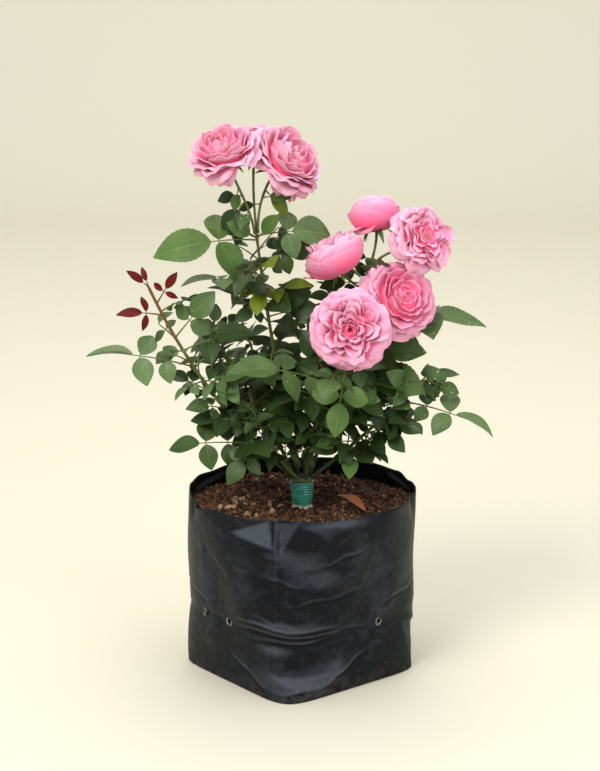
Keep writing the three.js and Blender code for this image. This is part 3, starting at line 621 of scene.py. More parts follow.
def tube(points, radii, sides, relief=None):
    """A closed tube along points: its vertices, its faces, and the share along it of each vertex."""
    points = np.asarray(points, float)
    radii = np.broadcast_to(np.asarray(radii, float), (len(points),))
    run = unit(np.gradient(points, axis=0))
    across = squared([0.3, 0.9, 0.2], run[0])
    rows = []
    turns = round_angles(sides)
    for i, (place, d) in enumerate(zip(points, run)):
        across = squared(across, d)
        size = radii[i] * (1 if relief is None else relief[i])
        rows.append(place + (np.cos(turns) * size)[:, None] * across
                    + (np.sin(turns) * size)[:, None] * np.cross(d, across))
    n = len(points)
    verts = np.concatenate([*rows, points[:1], points[-1:]])
    faces = grid_faces(n, sides, wrap=True)
    last = (n - 1) * sides
    faces += [(n * sides, (c + 1) % sides, c) for c in range(sides)]
    faces += [(n * sides + 1, last + c, last + (c + 1) % sides) for c in range(sides)]
    shares = np.concatenate([np.repeat(np.linspace(0, 1, n), sides), [0, 1]])
    return verts, faces, shares


class Nodes:
    """Short calls that make and link the nodes of a tree, whose kinds all start with the prefix."""
    prefix = ""

    def node(self, kind, inputs=None, **settings):
        """A node with its settings and its input values or links."""
        node = self.tree.nodes.new(self.prefix + kind)
        for key, value in settings.items():
            setattr(node, key, value)
        for key, value in (inputs or {}).items():
            self.feed(node.inputs[key], value)
        return node

    def feed(self, socket, value):
        """Links an output to a socket, or sets its value."""
        if isinstance(value, bpy.types.NodeSocket):
            self.tree.links.new(value, socket)
        elif socket.type == "RGBA" and len(value) == 3:
            socket.default_value = (*value, 1)
        else:
            socket.default_value = value


# Finishes
def scaled(tint, by, plus=0.0):
    """A colour made darker or lighter."""
    return tuple(min(1, by * c + plus) for c in tint)


class Finish(Nodes):
    """A node-based material. Patterns lie on Object coordinates or on the piece's own map and tones."""
    prefix = "ShaderNode"

    def __init__(self, name, base, roughness, **surface):
        self.material = bpy.data.materials.new(name)
        self.material.use_nodes = True
        self.tree = self.material.node_tree
        self.shader = self.tree.nodes["Principled BSDF"]
        self.shader.inputs["Base Color"].default_value = (*base, 1)
        self.shader.inputs["Roughness"].default_value = roughness
        for socket, value in surface.items():
            self.shader.inputs[socket.replace("_", " ")].default_value = value

    def place(self, stretch=(1, 1, 1)):
        """Object coordinates, stretched."""
        coordinates = self.node("TexCoord").outputs["Object"]
        if stretch == (1, 1, 1):
            return coordinates
        return self.node("Mapping", {"Vector": coordinates, "Scale": stretch}).outputs["Vector"]

    def noise(self, scale, detail=3.0, rough=0.55, stretch=(1, 1, 1), distort=0.0):
        """Cloudy values between 0 and 1 on Object coordinates."""
        return self.node("TexNoise", {
            "Vector": self.place(stretch), "Scale": scale, "Detail": detail, "Roughness": rough,
            "Distortion": distort}).outputs["Fac"]

    def cells(self, scale):
        """Distance to the nearest cell point on Object coordinates."""
        return self.node("TexVoronoi", {"Vector": self.place(), "Scale": scale}).outputs["Distance"]

    def height(self):
        """Height above the ground, in metres."""
        return self.node("SeparateXYZ", {"Vector": self.place()}).outputs["Z"]

    def tone(self):
        """The vertices' own value between 0 and 1."""
        return self.node("Attribute", attribute_name="tone").outputs["Fac"]

    def map(self):
        """The shares across and along a blade or petal."""
        split = self.node("SeparateXYZ", {"Vector": self.node("UVMap", uv_map="shape").outputs["UV"]})
        return split.outputs["X"], split.outputs["Y"]

    def math(self, operation, first, second=0.5, third=0.5, clamp=False):
        """One sum."""
        return self.node("Math", {0: first, 1: second, 2: third}, operation=operation,
                         use_clamp=clamp).outputs[0]

    def times(self, first, second):
        """A product."""
        return self.math("MULTIPLY", first, second)

    def span(self, value, low, high, to_low=0.0, to_high=1.0):
        """A value's range mapped to another, held at its ends."""
        return self.node("MapRange", {
            "Value": value, "From Min": low, "From Max": high, "To Min": to_low, "To Max": to_high,
        }).outputs["Result"]

    def stops(self, value, *stops):
        """A colour ramp of (place, colour) stops."""
        node = self.node("ValToRGB", {"Fac": value})
        elements = node.color_ramp.elements
        while len(elements) < len(stops):
            elements.new(1)
        for element, (position, tint) in zip(elements, stops):
            element.position = position
            element.color = (*tint, 1)
        return node.outputs["Color"]

    def mix(self, first, second, factor):
        """Two colours mixed by a factor."""
        node = self.node("Mix", data_type="RGBA")
        for key, value in ((0, factor), (6, first), (7, second)):
            self.feed(node.inputs[key], value)
        return node.outputs[2]

    def base(self, output):
        """Sets what colours the surface."""
        self.feed(self.shader.inputs["Base Color"], output)

    def rough(self, output):
        """Sets what roughens the surface."""
        self.feed(self.shader.inputs["Roughness"], output)

    def bump(self, height, distance, strength=1.0):
        """Relief in metres from values between 0 and 1."""
        before = self.shader.inputs["Normal"]
        inputs = {"Height": height, "Distance": distance, "Strength": strength}
        if before.links:
            inputs["Normal"] = before.links[0].from_socket
        self.feed(before, self.node("Bump", inputs).outputs["Normal"])


def film_finish(bag):
    """Black film with painted highlights and painted shade from its tone, and dust, splashes and mud at its
    foot.
    """
    f = Finish("bag_film", bag.film_colour, 0.42, Specular_IOR_Level=0.11)
    # The darkest film, reached in the painted shade of the folds and the inside, and in dark streaks.
    black = scaled(bag.film_colour, 0.4)
    clouds = f.noise(14, 5, 0.6)
    streaks = f.noise(46, 4, 0.6, stretch=(1, 1, 1.5), distort=1.2)
    # The painted gleam of the film's tone, varied by streaks.
    painted_gleam = f.math("MULTIPLY_ADD", f.math("SUBTRACT", streaks, 0.5), 0.55, f.tone(), clamp=True)
    film = f.stops(painted_gleam, (0.08, black), (0.34, bag.film_colour), (1.0, bag.painted_gleam_colour))
    dust = f.times(f.span(f.noise(900, 2), 0.6, 0.74), f.span(clouds, 0.38, 0.66))
    splash = f.times(f.span(f.cells(210), 0.16, 0.06), f.span(f.noise(33, 2), 0.52, 0.64))
    specks = f.math("MAXIMUM", f.times(dust, 0.06), f.times(splash, 0.32))
    foot = f.math("SUBTRACT", f.height(), f.times(f.noise(30, 4), 0.04))
    mud = f.times(f.span(foot, -0.004, -0.018), f.span(f.noise(170, 4), 0.40, 0.62))
    f.base(f.mix(f.mix(film, bag.dust_colour, specks), bag.mud_colour, f.times(mud, 0.7)))
    worn = f.math("ADD", f.span(clouds, 0.3, 0.7, 0.34, 0.5), f.times(specks, 0.4))
    f.rough(f.math("ADD", worn, f.times(mud, 0.4), clamp=True))
    f.bump(f.noise(38, 4, 0.5, stretch=(1, 1, 0.7), distort=0.6), 0.0022, 0.5)
    f.bump(f.noise(240, 3, 0.6), 0.0003, 0.4)
    return f.material


# How fine the pattern of soil is, in spots on a metre.
SOIL_GRAIN = 520


def soil_finish(name, tint, grain=SOIL_GRAIN):
    """Matt crumbs whose colour wanders a little."""
    f = Finish(name, tint, 0.92, Specular_IOR_Level=0.25)
    f.base(f.mix(scaled(tint, 0.45), tint, f.span(f.noise(grain, 3), 0.35, 0.65)))
    f.bump(f.noise(grain * 2.2, 3), 0.0004, 0.6)
    return f.material


def bark_finish(stock):
    """Grey-green bark with a pale dry foot."""
    f = Finish("stock_bark", stock.bark_colour, 0.8)
    flakes = f.noise(420, 4, 0.6, stretch=(1, 1, 0.35))
    bark = f.mix(scaled(stock.bark_colour, 0.5), scaled(stock.bark_colour, 1.3), flakes)
    foot = f.math("ADD", f.height(), f.times(f.noise(300, 2), 0.002))
    f.base(f.mix(stock.foot_colour, bark, f.span(foot, 0.1722, 0.1735)))
    f.bump(flakes, 0.0008, 0.8)
    return f.material


def tape_finish(stock):
    """Stretched green tape, glossy where it is pulled tight."""
    f = Finish("green_tape", stock.tape_colour, 0.36, Coat_Weight=0.15, Coat_Roughness=0.25)
    streaks = f.noise(260, 3, 0.6, stretch=(0.4, 0.4, 3.2))
    pale = scaled(stock.tape_colour, 1.9, 0.02)
    f.base(f.mix(scaled(stock.tape_colour, 0.5), pale, f.span(streaks, 0.3, 0.72)))
    f.rough(f.span(f.noise(180, 2), 0.35, 0.7, 0.28, 0.5))
    f.bump(f.noise(420, 3, 0.5, stretch=(0.35, 0.35, 3)), 0.0004, 0.5)
    return f.material


def cane_finish(cane):
    """Rind from dark at the foot through green to a red-brown tip, with fine lengthwise grain."""
    f = Finish("cane_rind", cane.green_colour, 0.5, Specular_IOR_Level=0.25)
    rind = f.stops(f.tone(), (0.0, cane.old_colour), (0.45, cane.green_colour), (0.95, cane.blush_colour))
    blotch = f.span(f.noise(150, 4, 0.6), 0.35, 0.7)
    f.base(f.mix(rind, f.mix(rind, (0.45, 0.42, 0.26), 0.07), blotch))
    f.rough(f.span(f.noise(300, 3), 0.3, 0.7, 0.4, 0.62))
    f.bump(f.noise(700, 3, 0.6, stretch=(1, 1, 0.25)), 0.0003, 0.5)
    return f.material


def leaf_finish(name, tint, roughness=0.42, veins=1.25, gloss=0.22):
    """A blade of one colour with lighter veins that follow its own outline."""
    f = Finish(name, tint, roughness, Specular_IOR_Level=gloss)
    side, along_blade = f.map()
    across = f.math("ABSOLUTE", f.math("MULTIPLY_ADD", side, 2, -1))
    rib = f.span(across, 0.055, 0.02)
    slant = f.math("MULTIPLY_ADD", across, -0.24, along_blade)
    wave = f.math("PINGPONG", f.times(slant, 8), 0.5)
    side_veins = f.times(f.span(wave, 0.07, 0.02), f.span(across, 1.0, 0.6))
    lines = f.math("MAXIMUM", rib, f.times(side_veins, 0.07))
    drift = f.span(f.noise(70, 3), 0.3, 0.7, 0.82, 1.16)
    blade = f.node("HueSaturation", {"Color": (*tint, 1), "Value": drift}).outputs["Color"]
    f.base(f.mix(blade, scaled(tint, veins, 0.015), lines))
    f.rough(f.span(f.noise(160, 2), 0.3, 0.7, roughness - 0.06, roughness + 0.1))
    f.bump(f.math("MULTIPLY_ADD", lines, -0.4, f.noise(900, 2)), 0.0003, 0.3)
    return f.material


def petal_finish(name, petal, stops):
    """A petal whose colour runs from its deep foot, partly painted shade, to its pale rim, partly painted
    highlight, with fine veins.
    """
    f = Finish(name, petal.mid, 0.6, Sheen_Weight=0.1, Sheen_Roughness=0.4, Subsurface_Weight=0.15,
               Subsurface_Scale=0.002, Specular_IOR_Level=0.25)
    f.shader.inputs["Subsurface Radius"].default_value = (1.0, 0.35, 0.4)
    side, along_petal = f.map()
    drawn_out = f.node("CombineXYZ", {
        "X": f.times(side, 16), "Y": f.times(along_petal, 1.6)})
    veins = f.node("TexNoise", {"Vector": drawn_out.outputs["Vector"], "Scale": 1.0, "Detail": 3.0})
    veins = veins.outputs["Fac"]
    shade = f.math("MULTIPLY_ADD", f.math("SUBTRACT", veins, 0.5), 0.22, f.tone(), clamp=True)
    f.base(f.stops(shade, *stops))
    f.bump(veins, 0.0004, 0.4)
    return f.material


# Growth rules
def shoot_curve(shoot):
    """The control points of a shoot. Its foot stands on the stock or beside the cane it springs from."""
    if "spring" in shoot:
        parent, where = shoot["spring"]
        start = at(shoot_curve(SHOOTS[parent]), where)
        out = squared(shoot["bend"] - start, UP)
        foot = start + out * (CANE_FOOT + GAP + BRANCH / 2)
    else:
        foot = heading(shoot["ring"], 0) * CANE_RING + UP * (STOCK_TOP + GAP)
    return [foot, np.array(shoot["bend"], float), np.array(shoot["tip"], float)]


def shoot_radius(where):
    """The solid cane's radius at a share of its shoot."""
    return CANE_FOOT + (CANE_TIP - CANE_FOOT) * where


def outward(point):
    """Where a filling leaf's blade looks: up and out from the crown's middle."""
    return unit(np.array([point[0], point[1], 0])) * 0.8 + UP * 0.75


def inside_crown(point):
    """Whether a filling leaf may reach a point."""
    return np.linalg.norm((point - CROWN_MIDDLE) / CROWN_REACH) < 1 and point[2] > CROWN_FOOT


# A leaf as it grows: where its blade looks is "up", and a "filling" leaf is grown by the rule.
Leaf = namedtuple("Leaf", "root azimuth rise long leaflets up tone filling tilt spread sized",
                  defaults=(True, 0, PAIR_SPREAD, 1.0))


def placed_leaf(root, azimuth, rise, long, leaflets, lean, tone, *further):
    """A leaf of a table, whose blade leans to the front by an angle."""
    up = np.array([0, -math.sin(math.radians(lean)), math.cos(math.radians(lean))])
    return Leaf(root, azimuth, rise, long, leaflets, up, tone, False, *further)


def deal_tone(draw):
    """The tone of a filling leaf: half of them dark."""
    value = draw()
    return "dark" if value < 0.5 else "shade" if value < 0.7 else "mid" if value < 0.9 else "pale"


def shoot_plan(shoot, number, extra):
    """The curve of a shoot, its leaves and its twigs, as the solids grow them, and more inner leaves."""
    curve = shoot_curve(shoot)
    tones = dice_for("tones", number)
    rows, twigs = [], []
    for where, *leaf in shoot["leaves"]:
        rows.append(placed_leaf(at(curve, where), *leaf))
    twig_count, twig_length = shoot["twigs"]
    for i in range(twig_count):
        draw = dice_for("twigs", number, i)
        root = at(curve, shoot["bare"] + 0.12 + 0.5 * i / twig_count)
        azimuth = number * 70 + i * 160 + 50 * draw()
        tip = root + heading(azimuth, 30) * twig_length
        twig = [root, root + heading(azimuth, 10) * twig_length * 0.5, tip]
        twigs.append(twig)
        for where, turn in ((0.55, 70), (0.78, -70), (1, 0)):
            rise = 20 + 20 * draw()
            long = twig_length * (1.05 + 0.25 * draw())
            rows.append(Leaf(at(twig, where), azimuth + turn, rise, long, 5, outward(tip),
                             deal_tone(tones)))
    count, first, long_first, long_last = shoot["fill"]
    for i in range(count):
        draw = dice_for("filling", number, i)
        root = at(curve, first + (0.98 - first) * (i + 0.5) / count)
        azimuth = number * 47 + i * SPIRAL + 30 * draw()
        long = (long_first + (long_last - long_first) * i / count) * (0.9 + 0.2 * draw())
        rise = 8 + 30 * draw()
        far = root + heading(azimuth, rise) * long
        rows.append(Leaf(root, azimuth, rise, long, 5, outward(far), deal_tone(tones)))
    for i in range(extra):
        draw = dice_for("inner", number, i)
        low = shoot["bare"] * 0.6
        root = at(curve, low + 0.1 + (0.8 - low) * (i + draw()) / extra)
        azimuth = number * 61 + i * SPIRAL + 40 * draw()
        rise = -14 + 50 * draw()
        long = 50 + 30 * draw()
        far = root + heading(azimuth, rise) * long
        leaflets = 3 if draw() < 0.25 else 5
        tone = "dark" if draw() < 0.55 else "mid"
        rows.append(Leaf(root, azimuth, rise, long, leaflets, outward(far), tone))
    return curve, rows, twigs


def finer_leaves(shoot_name, curve):
    """The side leaves of a shoot, and the leaves on the stalks of its blossoms."""
    rows = [placed_leaf(at(curve, where), *leaf) for where, *leaf in SIDE_LEAVES.get(shoot_name, ())]
    for name, bracts in BRACTS.items():
        if BLOSSOMS[name].shoot == shoot_name:
            stalk = blossom_frame(name)[-1]
            rows += [placed_leaf(at(stalk, where), *leaf) for where, *leaf in bracts]
    return rows


def leaf_plan(leaf, draw):
    """A leaf's stalk as a function of its share, where the end leaflet starts, and all its leaflets."""
    run = heading(leaf.azimuth, leaf.rise)
    normal = squared(leaf.up, run)
    side = np.cross(run, normal)
    long = leaf.long
    arch = LEAF_ARCH * long * math.cos(math.radians(leaf.rise))

    def point(s):
        return leaf.root + run * long * s + normal * 4 * s * (1 - s) * arch

    pairs, end = LEAF_FORMS[leaf.leaflets]
    plan = []
    for place, size in pairs:
        for hand in (1, -1):
            spread = math.radians(leaf.spread + 12 * (draw() - 0.5))
            droop = 0.05 + 0.25 * draw()
            aim = unit(run * math.cos(spread) + side * hand * math.sin(spread) - normal * droop)
            sized = size * leaf.sized * (0.92 + 0.16 * draw())
            plan.append((place, aim, squared(normal, aim), sized * long))
    last = point(1) - point(end)
    aim = unit(last)
    plan.append((end, aim, squared(normal, aim), np.linalg.norm(last)))
    return point, end, plan


def around(right, up, degrees):
    """Directions from a blossom's axis to a turn about it, and onwards along that turn."""
    c, s = math.cos(math.radians(degrees)), math.sin(math.radians(degrees))
    return right * c + up * s, up * c - right * s


def blossom_frame(name):
    """Middle, facing, right and up of a blossom, its radius, and the control points of its stalk."""
    blossom = BLOSSOMS[name]
    curve, where, radius = shoot_curve(SHOOTS[blossom.shoot]), blossom.where, blossom.radius
    facing = heading(blossom.azimuth, blossom.rise)
    middle = np.array(blossom.middle, float)
    right = np.cross(squared(UP, facing), facing)
    up = np.cross(facing, right)
    back = middle + facing * CALYX_HEIGHT[blossom.form] * radius
    start, run = at(curve, where), along(curve, where)
    away = turned(squared(back - start, run), run, math.radians(blossom.turn))
    if where == 1:
        start = start + away * FORK_OFFSET - run * 1.5
        leave = run
    else:
        start = start + away * (shoot_radius(where) - 1)
        leave = unit(away + run)
    reach = np.linalg.norm(back - start)
    stalk = [start, start + leave * reach * 0.35, back - facing * reach * 0.3, back + facing * 2.5]
    return middle, facing, right, up, radius, stalk


# Leaves
# Rows of teeth on a side, the bare foot of a leaflet, and the angle in degrees past which the edges of
# blades and petals stay sharp.
TEETH = 11
LEAF_FOOT = 1.5
LEAF_CREASE = 60
# How far filling and placed leaves may roll about their midribs, in degrees from side to side.
FILLING_STRAY, PLACED_STRAY = 56, 28


# Layers of a blade: its rim, the upper and lower side of its midrib, and the raised blade between veins.
RIM, UPPER, LOWER, RAISED = 0, 1, -1, 2


def blade_layout():
    """Places on a leaflet as share along, share across and layer, its faces, and which are underneath."""
    spots = [(0, 0, RIM), (1, 0, RIM)]
    spots += [(k / TEETH, 0, layer) for k in range(1, TEETH) for layer in (UPPER, LOWER)]
    upper = [0, *range(2, 2 * TEETH, 2), 1]
    lower = [0, *range(3, 2 * TEETH, 2), 1]
    faces, under = [], []
    for hand in (1, -1):
        rim = [0] + [len(spots) + k for k in range(TEETH - 1)] + [1]
        spots += [((k + 1) / TEETH, hand, RIM) for k in range(TEETH - 1)]
        teeth = [len(spots) + k for k in range(TEETH)]
        spots += [((k + 0.75) / TEETH, hand * 1.045, RIM) for k in range(TEETH)]
        raised = [len(spots) + k for k in range(TEETH)]
        spots += [((k + 0.5) / TEETH, hand * 0.52, RAISED) for k in range(TEETH)]
        for k in range(TEETH):
            loop = [upper[k], upper[k + 1], rim[k + 1], teeth[k], rim[k]]
            top = [(a, b, raised[k]) for a, b in zip(loop, loop[1:] + loop[:1])]
            below = [(lower[k], rim[k], lower[k + 1]), (rim[k], rim[k + 1], lower[k + 1]),
                     (rim[k], teeth[k], rim[k + 1])]
            for group, beneath in ((top, False), (below, True)):
                for face in group:
                    if len(set(face)) == 3:
                        faces.append(face if hand == 1 else face[::-1])
                        under.append(beneath)
    return np.array(spots, float), faces, np.array(under)


SPOTS, BLADE_FACES, BLADE_UNDER = blade_layout()


def blade(root, aim, normal, long, width, curl, fold, twist):
    """The vertices of one leaflet in millimetres, and its flat map."""
    a, b, layer = SPOTS.T
    half = 0.5 * width * long * np.sin(math.pi * a ** 0.9) ** 0.75 * (1 - 0.22 * a ** 4)
    side = np.cross(normal, aim)
    y = b * half
    z = long * (0.10 * np.sin(math.pi * a) * 0.5 - curl * a ** 2) + fold * np.abs(y)
    z += 0.012 * long * np.sin(9 * a + 5 * twist) * np.abs(b)
    z += np.where(layer == RAISED, 0.001 * long, 0) - np.where(layer == LOWER, 0.55, 0)
    z += twist * y * a
    verts = root + np.outer(a * long, aim) + np.outer(y, side) + np.outer(z, normal)
    return verts, np.column_stack([0.5 + 0.5 * np.clip(b, -1, 1), a])


# Leaves keep out of a blossom up to the first of these shares of its radius, but may be behind it from the
# second.
BLOSSOM_ROOM, BLOSSOM_BACK = 0.8, -0.35


def clear_of_blossoms(point):
    """Whether a point lies outside every blossom."""
    return all(
        np.linalg.norm(point - b.middle) > BLOSSOM_ROOM * b.radius
        or np.dot(point - b.middle, heading(b.azimuth, b.rise)) < BLOSSOM_BACK * b.radius
        for b in BLOSSOMS.values())


def grow_leaf(leaf, draw, shape, blades, stalks):
    """Adds the blades and stalks of one leaf, laid out by one draw and shaped by another.

    Returns the drops of dew on it, as places and the directions that they look in.
    """
    point, end, plan = leaf_plan(leaf, draw)
    if leaf.filling and not clear_of_blossoms(point(0.3)):
        return []
    stray = FILLING_STRAY if leaf.filling else PLACED_STRAY
    slender = SLENDER.get(leaf.tone, 1) * bpy.context.scene.rose_leaf.width
    pick = np.where(BLADE_UNDER, len(TONES) + (leaf.tone == "red"), TONES.index(leaf.tone))
    reddish = leaf.tone in ("red", "bronze")
    reached, dew = 0, []
    for order, (where, aim, normal, long) in enumerate(plan):
        start = point(where)
        tip, middle = start + aim * long, start + aim * long * 0.5
        widen, curl, fold, roll = [shape() for _ in range(4)]
        tilt = leaf.tilt if order == len(plan) - 1 else 0
        normal = turned(normal, aim, math.radians(tilt + stray * (roll - 0.5)))
        if leaf.filling and not inside_crown(tip):
            continue
        if not (clear_of_blossoms(middle) and clear_of_blossoms(tip)):
            continue
        width = slender * (0.92 + 0.2 * widen + (0.1 if where < end else 0))
        verts, flat_map = blade(
            start + aim * LEAF_FOOT, aim, normal, long - LEAF_FOOT, width,
            curl=0.04 + 0.16 * curl, fold=0.10 + 0.25 * fold, twist=0.5 * (widen - 0.5))
        blades.add(verts * MM, BLADE_FACES, pick, flat_map)
        stem, faces, _ = tube([start, start + aim * 2.6], [0.55, 0.4], 4)
        stalks.add(stem * MM, faces, tone=0.9 if reddish else 0.5)
        reached = max(reached, where)
        if leaf.tone in ("pale", "mid") and not leaf.filling:
            dew += [(place, normal) for place in dew_places(verts, normal, shape)]
    if reached:
        shares = np.linspace(0, reached, 7)
        stem, faces, _ = tube([point(s) for s in shares], np.linspace(0.95, 0.55, 7), 5)
        stalks.add(stem * MM, faces, tone=0.9 if reddish else 0.45)
    return dew


def grow_leaves(extra):
    """Blades by shoot, the stalks of all leaves, and the drops of dew, in metres."""
    blades = {name: Bundle() for name in SHOOTS}
    stalks = Bundle()
    dew = []
    for number, (name, shoot) in enumerate(SHOOTS.items()):
        curve, leaves, _ = shoot_plan(shoot, number, extra)
        for index, leaf in enumerate(leaves + finer_leaves(name, curve)):
            draw, shape = dice_for("leaves", number, index), dice_for("blades", number, index)
            dew += grow_leaf(leaf, draw, shape, blades[name], stalks)
    return blades, stalks, dew


def dew_places(verts, normal, draw):
    """Places for up to six drops of dew on the upper face of a blade."""
    raised = verts[SPOTS[:, 2] == RAISED]
    places = []
    for _ in range(int(1 + 6 * draw())):
        first, second = raised[int(draw() * len(raised))], raised[int(draw() * len(raised))]
        places.append((first + (second - first) * 0.3 * draw() + normal * 0.15) * MM)
    return places


class ROSE_OT_leaves(Operator):
    """Grow the leaves of every mass, with their stalks and dew"""
    bl_idname = "rose.leaves"
    bl_label = "Leaves"

    def execute(self, context):
        leaf = context.scene.rose_leaf
        finishes = []
        for tone in TONES:
            gloss = 0.1 if tone == "red" else 0.22
            finishes.append(leaf_finish("leaf_" + tone, getattr(leaf, tone), gloss=gloss))
        finishes.append(leaf_finish("leaf_under", leaf.under, 0.6, 1.2))
        finishes.append(leaf_finish("leaf_under_red", scaled(leaf.red, 0.8), 0.55, 1.2))
        blades, stalks, dew = grow_leaves(leaf.extra)
        for name, bundle in blades.items():
            bundle.piece(name + "_leaves", finishes, "leaf", [name + "_foliage"], crease=LEAF_CREASE)
        stalks.piece("leaf_stalks", [cane_finish(context.scene.rose_cane)], "cane")
        self.dew(leaf, *zip(*dew))
        return {"FINISHED"}

    @staticmethod
    def dew(leaf, places, looks):
        """Drops of dew on the grown leaves, coloured pale as a painted glint."""
        finish = Finish("dew_drop", leaf.dew, 0.1, Coat_Weight=0.6, Coat_Roughness=0.05)
        growth = Growth("rose_dew", size=leaf.drop, seed=21, material=finish.material)
        bead = growth.node("GeometryNodeMeshIcoSphere", {"Radius": growth.input("size"), "Subdivisions": 2})
        growth.finish(growth.instances(bead.outputs["Mesh"], Scale=growth.sizes(0.5, 1.25)))
        growth.grow(point_cloud("dew_places", places, looks), "dew", "leaf")


# Canes
# The tones of green stalks and of twigs, between 0 for old wood and 1 for young red rind.
GREEN = 0.42
TWIG_GREEN = 0.5
# How deep the foot of a cane is set into the stock and of a side shoot into its cane, the thickness of a
# side shoot against a cane, and the step between the rings of a cane, in millimetres.
FOOT_DEPTH = 1.6
SIDE_DEPTH = 2.2
SIDE_THICKNESS = 0.62
CANE_STEP = 2.5


def cane_paths():
    """Every cane, stem, twig and blossom stalk: its points, radii and tones."""
    slim = bpy.context.scene.rose_cane.slimness
    paths = []
    for number, shoot in enumerate(SHOOTS.values()):
        curve, _, twigs = shoot_plan(shoot, number, 0)
        if "spring" in shoot:
            curve[0] = curve[0] - squared(curve[0] * (1, 1, 0) + 1e-6, UP) * SIDE_DEPTH
        else:
            curve[0] = curve[0] - UP * FOOT_DEPTH
        long = steps_of(bezier(curve, np.linspace(0, 1, 30))).sum()
        t = np.linspace(0, 1, int(long / CANE_STEP))
        radii = slim * shoot_radius(t) * (SIDE_THICKNESS if "spring" in shoot else 1)
        tone = shoot["blush"] * t ** 4 + GREEN * np.minimum(1, t * 2)
        paths.append((bezier(curve, t), radii, np.clip(tone, 0, 1), number))
        for twig in twigs:
            t = np.linspace(0, 1, 18)
            paths.append((bezier(twig, t), np.linspace(*TWIG, 18), np.full(18, TWIG_GREEN), number))
    for index, name in enumerate(BLOSSOMS):
        stalk = blossom_frame(name)[-1]
        t = np.linspace(0, 1, 24)
        radii = BLOSSOM_STALK * (1 + 0.35 * t ** 4)
        paths.append((bezier(stalk, t), radii, np.full(24, GREEN), FIRST_STALK + index))
    return paths


class ROSE_OT_canes(Operator):
    """Build canes, stems, twigs and blossom stalks with the relief of their rind"""
    bl_idname = "rose.canes"
    bl_label = "Canes"

    def execute(self, context):
        bundle = Bundle()
        for points, radii, tones, number in cane_paths():
            draw = np.random.RandomState(number)
            n, sides = len(points), 10
            waves = 1 + 0.05 * draw.uniform(-1, 1, (n, sides))
            reached = np.append(0, steps_of(points)).cumsum()
            knots = 0.16 * bell(reached % 26 - 13, 2.2)
            verts, faces, shares = tube(points, radii, sides, waves + knots[:, None])
            tone = np.interp(shares, np.linspace(0, 1, n), tones)
            bundle.add(verts * MM, faces, tone=tone)
        canes = [name + "_cane" for name, shoot in SHOOTS.items() if shoot["bare"] > 0]
        bundle.piece("canes", [cane_finish(context.scene.rose_cane)], "cane", canes)
        return {"FINISHED"}


# Geometry Nodes
class Growth(Nodes):
    """A Geometry Nodes tree with named inputs, and shapes set on points."""

    def __init__(self, name, **inputs):
        self.tree = bpy.data.node_groups.new(name, "GeometryNodeTree")
        face = self.tree.interface
        face.new_socket("Geometry", in_out="INPUT", socket_type="NodeSocketGeometry")
        kinds = {float: "NodeSocketFloat", int: "NodeSocketInt"}
        self.names = {}
        for key, value in inputs.items():
            kind = kinds.get(type(value), "NodeSocketMaterial")
            self.names[key] = face.new_socket(key, in_out="INPUT", socket_type=kind)
        face.new_socket("Geometry", in_out="OUTPUT", socket_type="NodeSocketGeometry")
        self.values = inputs
        self.entry = self.tree.nodes.new("NodeGroupInput")
        self.geometry = self.entry.outputs[0]

    def input(self, key):
        """The output that carries a named input."""
        return self.entry.outputs[key]

    def looks(self):
        """The turn that points a shape's upright axis where its point looks."""
        look = self.node("GeometryNodeInputNamedAttribute", {"Name": "look"}, data_type="FLOAT_VECTOR")
        turn = self.node("FunctionNodeAlignRotationToVector", {"Vector": look.outputs[0]}, axis="Z")
        return turn.outputs[0]

    def sizes(self, least, most):
        """A random size for each point."""
        return self.node("FunctionNodeRandomValue", {
            2: least, 3: most, "Seed": self.input("seed")}, data_type="FLOAT").outputs[1]

    def instances(self, shape, points=None, **inputs):
        """A shape on every point."""
        return self.node("GeometryNodeInstanceOnPoints", {
            "Points": points or self.geometry, "Instance": shape, **inputs}).outputs[0]

    def finish(self, geometry):
        """Ends the tree in Realize Instances and Set Material."""
        solid = self.node("GeometryNodeRealizeInstances", {"Geometry": geometry})
        painted = self.node("GeometryNodeSetMaterial", {
            "Geometry": solid.outputs[0], "Material": self.input("material")})
        leave = self.tree.nodes.new("NodeGroupOutput")
        self.tree.links.new(painted.outputs[0], leave.inputs[0])

    def grow(self, source, name, node_slot):
        """A plain mesh made by this tree on a source object, which is then removed, as a piece."""
        modifier = source.modifiers.new("growth", "NODES")
        modifier.node_group = self.tree
        for key, socket in self.names.items():
            modifier[socket.identifier] = self.values[key]
        mesh = evaluated_mesh(source)
        if not len(mesh.polygons):
            raise RuntimeError(name + " grew nothing")
        bpy.data.objects.remove(source)
        settle(add_object(name, mesh))


def point_cloud(name, places, directions):
    """A mesh of loose points with the direction that each one looks in."""
    mesh = bpy.data.meshes.new(name)
    mesh.from_pydata([tuple(p) for p in places], [], [])
    looks = mesh.attributes.new("look", "FLOAT_VECTOR", "POINT")
    looks.data.foreach_set("vector", np.asarray(directions, np.float32).ravel())
    return add_object(name, mesh)


# Millimetres from a cane's foot to its first prickle, and the fewest points of a cane that has any.
FIRST_PRICKLE = 24.0
LEAST_PRICKLED = 20


